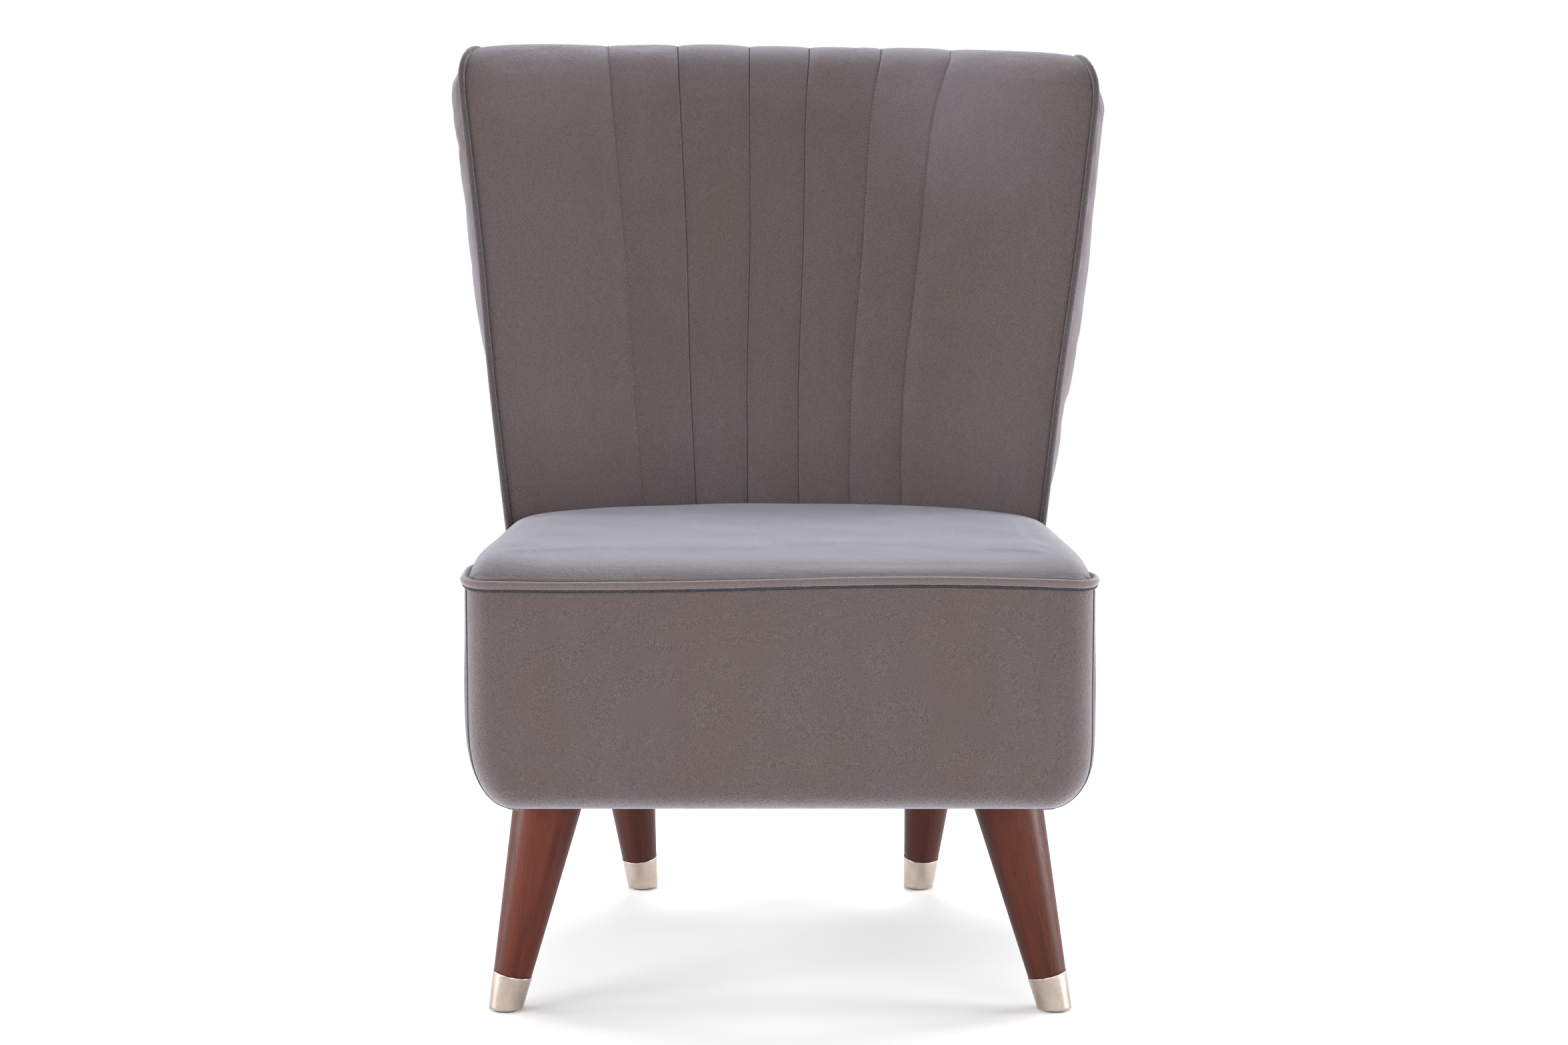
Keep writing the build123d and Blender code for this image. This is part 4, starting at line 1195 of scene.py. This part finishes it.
def stitched(columns):
    """Stitches at an even pitch along some columns of the back, lifted along their normals."""
    shape, quads = capsule()
    points = []
    for column in columns:
        line = settled_back[shown_rows, column]
        path, places = even_path(line, stitch_pitch)
        up = unit(spread(places, travelled(line), back_normals[shown_rows, column]))
        along = unit(np.gradient(path, axis=0))
        axes = np.stack([along, np.cross(up, along), up], axis=1)
        points.append(np.einsum("kc,ncd->nkd", shape, axes) + (path + up * stitch_lift)[:, None])
    points = np.concatenate(points)
    faces = quads[None] + (np.arange(len(points)) * len(shape))[:, None, None]
    return points.reshape(-1, 3), faces.reshape(-1, 4)


stitches = make_piece("channel_stitches", *stitched(seam_columns[[0, 4, 5]]))
thread = velvet_finish("channel_thread", srgb(104, 92, 90), srgb(128, 116, 112), sheen=0.1, pile=0.0001)
dress(stitches, thread, "velvet")

# %% [markdown]
# ## Legs
# A leg is a turned taper on a slanting axis, cut level where it meets the seat. Every point has a turn
# round the axis and a share of the way up it. Where the level cut falls can be solved for each turn,
# because both the axis and the taper are straight. The leg keeps its own coordinates as an attribute, so
# that the grain follows it.

# %% Axes of the legs
leg_top_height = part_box("leg_front_left")[1].z
leg_top_radius = 0.034
leg_foot_radius = 0.0157
leg_sides = 72
ferrule_height = 0.037
ferrule_proud = 0.0006
glide_height = 0.002
# Each leg has an end, a side, and its (across, depth) at the top and at the foot.
leg_places = [
    ("front", "left", -1, (0.226, 0.070), (0.270, 0.060)),
    ("front", "right", 1, (0.2215, 0.070), (0.270, 0.060)),
    ("rear", "left", -1, (0.173, 0.506), (0.152, 0.537)),
    ("rear", "right", 1, (0.169, 0.506), (0.152, 0.537)),
]


def leg_axis(side, top, foot):
    """Foot, direction, length and two square directions of a leg's axis."""
    low = np.array([side * foot[0], front_y + foot[1], 0])
    high = np.array([side * top[0], front_y + top[1], leg_top_height])
    length = np.linalg.norm(high - low)
    along = (high - low) / length
    first = unit(np.cross(along, np.array([0, 1, 0])))
    return low, along, length, first, np.cross(along, first)


def level_cut(level, axis, radius, spoke):
    """How far up the axis each side of the taper meets a level, and where the axis itself does."""
    _, along, length, *_ = axis
    rate = (leg_top_radius - leg_foot_radius) / length
    return (level - radius * spoke[:, 2]) / (along[2] + rate * spoke[:, 2]), level / along[2]


def rim_end(spoke):
    """Upper end of a ferrule and lower end of the wood: square to the axis."""
    return np.full(len(spoke), ferrule_height), ferrule_height


def turned(axis, profile, grow, low_end, high_end):
    """Turned form between two ends: each row has a share of the way up and a share of the radius there."""
    low, along, length, first, second = axis
    turn = np.linspace(0, 2 * np.pi, leg_sides, endpoint=False)
    spoke = np.cos(turn)[:, None] * first + np.sin(turn)[:, None] * second
    (near, near_axis), (far, far_axis) = low_end(spoke), high_end(spoke)
    share = np.array(profile)[:, 0, None]
    reach = near + share * (far - near)
    radius = leg_foot_radius + grow + (leg_top_radius - leg_foot_radius) * reach / length
    rim = reach[..., None] * along + radius[..., None] * spoke
    spine = (near_axis + share * (far_axis - near_axis))[..., None] * along
    local = spine + np.array(profile)[:, 1, None, None] * (rim - spine)
    own = np.stack([local @ first, local @ second, local @ along], axis=-1)
    return low + local, own


def turned_piece(name, form, finish, slot, stands_for):
    """Piece from a turned form, with its own coordinates stored as the attribute its finish follows."""
    points, own = form
    piece = grid_piece(name, points, round_columns=True)
    attribute = piece.data.attributes.new("own_place", "FLOAT_VECTOR", "POINT")
    attribute.data.foreach_set("vector", own.astype(np.float32).ravel())
    dress(piece, finish, slot, stands_for)


print("legs reach up to", round(leg_top_height, 4), "m")

# %% [markdown]
# ## Stained wood and pale brass
# The legs are stained red-brown under a satin lacquer: long soft streaks along the grain, and fine pores.
# The right front leg is a tone darker, and the rear pair darker still: painted shade, for the key lamp on
# the left and the seat's shadow over the rear legs. The ferrules are pale brushed brass, bright but not a
# mirror, with the dull scuffs and nicks that a foot collects close to the floor.


# %% Wood and brass finishes
def wood_finish(name, dark, light):
    """Stain that wanders along the grain between two tones, with fine pores and a clear satin coat."""
    finish = Finish(bpy.data.materials.new(name))
    place = finish.place("own_place")
    streaks = finish.streaks(place, (70, 70, 5), detail=4.0, roughness=0.6)
    bands = finish.streaks(place, (26, 26, 2.2))
    pore = finish.span(finish.streaks(place, (520, 520, 26)), 0.58, 0.74)
    tone = finish.span(streaks * 0.5 + bands * 0.5, 0.34, 0.66)
    return finish.surface({
        "Base Color": finish.mix(pore * 0.45, finish.mix(tone, dark, light), dark),
        "Roughness": 0.40 + tone * 0.10,
        "Specular IOR Level": 0.14,
        "Coat Weight": 0.04,
        "Coat Roughness": 0.25,
        "Normal": finish.bump(1 - pore, 0.0003),
    })


def brass_finish():
    """Pale brushed brass with dull scuffs towards the floor."""
    finish = Finish(bpy.data.materials.new("pale_brass"))
    place = finish.place("own_place")
    brushed = finish.streaks(place, (60, 60, 900), detail=3.0, roughness=0.6)
    smudge = finish.noise(place, scale=60, detail=3.0, roughness=0.6)
    height = finish.node("ShaderNodeSeparateXYZ", None, {"Vector": place}, "Z")
    nicks = finish.noise(place, scale=260, detail=3.0, roughness=0.7)
    scuff = finish.span(nicks - height * 18.0, 0.56, 0.66)
    metal = finish.mix(finish.span(smudge, 0.35, 0.7), srgb(173, 159, 148), srgb(185, 172, 162))
    return finish.surface({
        "Base Color": finish.mix(scuff * 0.75, metal, srgb(92, 78, 66)),
        "Metallic": 1 - scuff * 0.5,
        "Roughness": 0.24 + brushed * 0.08 + scuff * 0.25,
        "Normal": finish.bump(brushed * 0.2 - scuff, 0.00004),
    })


front_wood = wood_finish("stained_wood", srgb(57, 25, 19), srgb(88, 41, 29))
# Darker copies of the stain for the right front leg and the rear pair: painted shade.
right_wood_painted_shade = wood_finish("stained_wood_painted_shade", srgb(50, 22, 16), srgb(78, 37, 26))
rear_wood_painted_shade = wood_finish("stained_wood_rear_painted_shade", srgb(41, 18, 15), srgb(66, 31, 24))
leg_woods = {
    "front_left": front_wood,
    "front_right": right_wood_painted_shade,
    "rear_left": rear_wood_painted_shade,
    "rear_right": rear_wood_painted_shade,
}
pale_brass = brass_finish()
print("finishes", [wood.name for wood in leg_woods.values()], pale_brass.name)

# %% Turn the legs and ferrules
leg_profile = [(0.0, 0.0), (0.0, 0.6), (0.0, 0.965), (0.004, 0.992), (0.010, 1.0)]
leg_profile += [(share, 1.0) for share in np.linspace(0.03, 0.985, 40)]
leg_profile += [(0.996, 0.997), (1.0, 0.985), (1.0, 0.6), (1.0, 0.0)]
ferrule_profile = [(0.0, 0.0), (0.0, 0.7), (0.0, 0.955), (0.008, 0.985), (0.025, 1.0)]
ferrule_profile += [(share, 1.0) for share in np.linspace(0.08, 0.95, 16)]
ferrule_profile += [(0.985, 0.998), (0.997, 0.990), (1.0, 0.975), (0.994, 0.95)]
ferrule_profile += [(0.90, 0.94), (0.90, 0.5), (0.90, 0.0)]

for end, name, side, top, foot in leg_places:
    leg = f"{end}_{name}"
    axis = leg_axis(side, top, foot)
    seat_end = partial(level_cut, leg_top_height, axis, leg_foot_radius)
    wood = turned(axis, leg_profile, 0.0, rim_end, seat_end)
    turned_piece(f"turned_leg_{leg}", wood, leg_woods[leg], "leg_wood", f"leg_{leg}")
    floor_end = partial(level_cut, glide_height, axis, leg_foot_radius + ferrule_proud)
    cup = turned(axis, ferrule_profile, ferrule_proud, floor_end, rim_end)
    turned_piece(f"ferrule_cup_{leg}", cup, pale_brass, "ferrule_brass", f"ferrule_{leg}")

# %% [markdown]
# ## Under the seat
# A thin black dust cloth closes the underside. It is stapled round its edge and sags a little in the
# middle.

# %% Dust cloth
dust_thickness = 0.0006
dust_gap = 0.001
dust_sag = 0.0022
dust_pleat = 0.0006
dust_lift = 0.0010
rear_gap = 0.006
dust_rows, dust_columns = 57, 53


def dust_points():
    """Sheet in the opening under the seat: tapered sides, bowed rear, and a sag towards the middle."""
    a = np.linspace(-1, 1, dust_columns)[None, :]
    b = np.linspace(0, 1, dust_rows)[:, None]
    near = flange + dust_gap
    edge_depth = side_length - flange - rear_gap
    rear_width = front_half - side_slope * edge_depth - flange
    rear_depth = bow(a * rear_width, rear_width, edge_depth, base_depth - flange - dust_gap)
    depth = near + b * (rear_depth - near)
    across = a * (front_half - side_slope * np.minimum(depth, edge_depth) - flange - dust_gap)
    sag = (1 - a**2) * 4 * b * (1 - b)
    pleat = dust_pleat * ripple(across, depth, size=0.11, seed=2.7) * sag
    return in_frame(across, depth, underside + dust_lift - dust_sag * sag + pleat)


def dust_finish():
    """Black spun cloth: short matted fibres."""
    finish = Finish(bpy.data.materials.new("dust_cloth_black"))
    fibres = finish.streaks(finish.place(), (420, 420, 60), detail=4.0, roughness=0.7)
    return finish.surface({
        "Base Color": finish.mix(finish.span(fibres, 0.35, 0.7), srgb(18, 18, 19), srgb(42, 42, 44)),
        "Roughness": 0.88 + fibres * 0.1,
        "Normal": finish.bump(fibres, 0.0004),
    })


dust_sheet = dust_points()
dust_cloth = grid_piece("dust_cloth", dust_sheet, (0, 0, -1))
thicken(dust_cloth, dust_thickness)
dress(dust_cloth, dust_finish(), "dust_cloth", "dust_cover")

# %% [markdown]
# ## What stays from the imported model
# The frame, springs and fasteners inside keep their exact shapes and only need a finish: sawn softwood,
# bent ply, zinc-plated steel, and moulded plastic for the glides.

# %% Finishes inside
# Each slot has a material's name, a dark and a light tone, its pattern's stretch, roughness and metallic.
inner_looks = {
    "frame_wood": ("sawn_softwood", (176, 138, 92), (206, 172, 124), (6, 40, 40), 0.75, 0.0),
    "back_board": ("bent_ply", (168, 126, 82), (196, 156, 110), (40, 40, 5), 0.7, 0.0),
    "steel": ("zinc_steel", (150, 150, 152), (186, 186, 190), (90, 90, 90), 0.42, 1.0),
    "glide_plastic": ("glide_black", (24, 24, 25), (40, 40, 42), (300, 300, 300), 0.6, 0.0),
    "wadding": ("wadding_white", (214, 214, 210), (236, 236, 234), (120, 120, 120), 0.95, 0.0),
}


def plain_finish(name, dark, light, stretch, roughness, metallic):
    """Two tones mixed by a stretched noise, with a slight relief."""
    finish = Finish(bpy.data.materials.new(name))
    tone = finish.streaks(finish.place(), stretch, detail=3.0, roughness=0.6)
    return finish.surface({
        "Base Color": finish.mix(finish.span(tone, 0.35, 0.68), srgb(*dark), srgb(*light)),
        "Roughness": roughness - tone * 0.1,
        "Metallic": metallic,
        "Normal": finish.bump(tone, 0.0003),
    })


inner_finishes = {slot: plain_finish(*look) for slot, look in inner_looks.items()}
for entry in frame["record"]["subparts"]:
    if entry["material_slot"] in inner_finishes:
        slots = nodes[entry["node"]].data.materials
        slots.clear()
        slots.append(inner_finishes[entry["material_slot"]])
print("inner finishes", sorted(inner_finishes))

# %% [markdown]
# ## Stage, light and camera
# The photograph was taken from the front and a little above with a long lens. The camera stands at the
# distance and height that the perspective of the feet, the seat and the back agree on. The light is soft:
# a key lamp on the left and a fill on the right, a low one for the border and the legs, one behind and
# above for the top edges, and small ones at each side that pick out the rounded edges. The sky adds an
# even light, and camera, mirror and glass rays see it plain white.


# %% Floor and sky
def floor_finish():
    """Pale floor that keeps the chair's shadow and fades to white away from it."""
    finish = Finish(bpy.data.materials.new("pale_floor"))
    distance = finish.vector("LENGTH", finish.place(), output="Value")
    matt = finish.node("ShaderNodeBsdfDiffuse", None, {"Color": (0.93, 0.93, 0.93, 1)})
    glow = finish.node("ShaderNodeEmission", None, {"Color": pure_white, "Strength": 1.0})
    return finish.mixed("Material", finish.span(distance, 0.45, 1.5), matt, glow)


def sky_finish():
    """Even soft sky that camera, mirror and glass rays see as plain white."""
    sky = Finish(bpy.data.worlds.new("studio"))
    seen = sky.node("ShaderNodeLightPath", None, None, "Is Camera Ray")
    for ray in ("Is Glossy Ray", "Is Transmission Ray"):
        seen = seen + sky.node("ShaderNodeLightPath", None, None, ray)
    ambient = sky.node("ShaderNodeBackground", None, {"Color": (0.96, 0.97, 1.0, 1), "Strength": 0.42})
    backdrop = sky.node("ShaderNodeBackground", None, {"Color": pure_white, "Strength": 1.0})
    return sky.mixed("World", seen, ambient, backdrop)


floor_size = 14.0
floor_corners = np.array([[-1, -1, 0], [1, -1, 0], [1, 1, 0], [-1, 1, 0]]) * floor_size / 2
floor = make_piece("floor", floor_corners, np.array([[0, 1, 2, 3]]), (0, 0, 1))
floor.data.materials.append(floor_finish())
bpy.context.scene.world = sky_finish()
print("floor", floor_size, "m wide under", bpy.context.scene.world.name)

# %% Lamps
# Each square lamp has a place, a point that it is turned to, a size and its watts.
lamps = {
    "key_lamp": ((-2.8, -2.0, 1.6), (0, 0, 0.6), 1.6, 56),
    "fill_lamp": ((1.8, -2.6, 1.0), (0, 0, 0.4), 1.8, 22),
    "low_lamp": ((0.0, -2.2, 0.40), (0, 0, 0.3), 0.7, 17),
    "rear_lamp": ((0.0, 1.2, 2.05), (0, -0.2, 0.4), 1.2, 42),
    "left_edge_lamp": ((-1.8, -0.3, 0.28), (0, -0.2, 0.3), 0.6, 25),
    "right_edge_lamp": ((1.8, -0.3, 0.28), (0, -0.2, 0.3), 0.6, 36),
    "left_wing_lamp": ((-1.7, 0.55, 0.95), (0, 0.2, 0.7), 0.7, 13),
    "right_wing_lamp": ((1.7, 0.55, 0.95), (0, 0.2, 0.7), 0.7, 16),
}
for name, (place, aim, size, watts) in lamps.items():
    lamp = bpy.data.objects.new(name, bpy.data.lights.new(name, "AREA"))
    lamp.data.size = size
    lamp.data.energy = watts
    lamp.location = place
    lamp.rotation_euler = (Vector(aim) - Vector(place)).to_track_quat("-Z", "Y").to_euler()
    bpy.context.scene.collection.objects.link(lamp)
print("lamps", list(lamps))

# %% Camera
photo_width = 2352
focal_pixels = 5746
chair_pixels_left = 6
sensor_width = 36
camera_distance = 3.581
camera_height = 1.065
camera_tilt = np.radians(9.06)

camera = bpy.data.objects.new("photo_camera", bpy.data.cameras.new("photo_camera"))
camera.data.sensor_width = sensor_width
camera.data.lens = sensor_width * focal_pixels / photo_width
camera_across = chair_pixels_left * camera_distance / focal_pixels
camera.location = (camera_across, front_y - camera_distance, camera_height)
camera.rotation_euler = (np.pi / 2 - camera_tilt, 0, 0)
bpy.context.scene.collection.objects.link(camera)
bpy.context.scene.camera = camera
bpy.context.scene.view_settings.view_transform = "Standard"
print("camera lens", round(camera.data.lens, 2), "mm")

# %% Update the scene
bpy.context.view_layer.update()
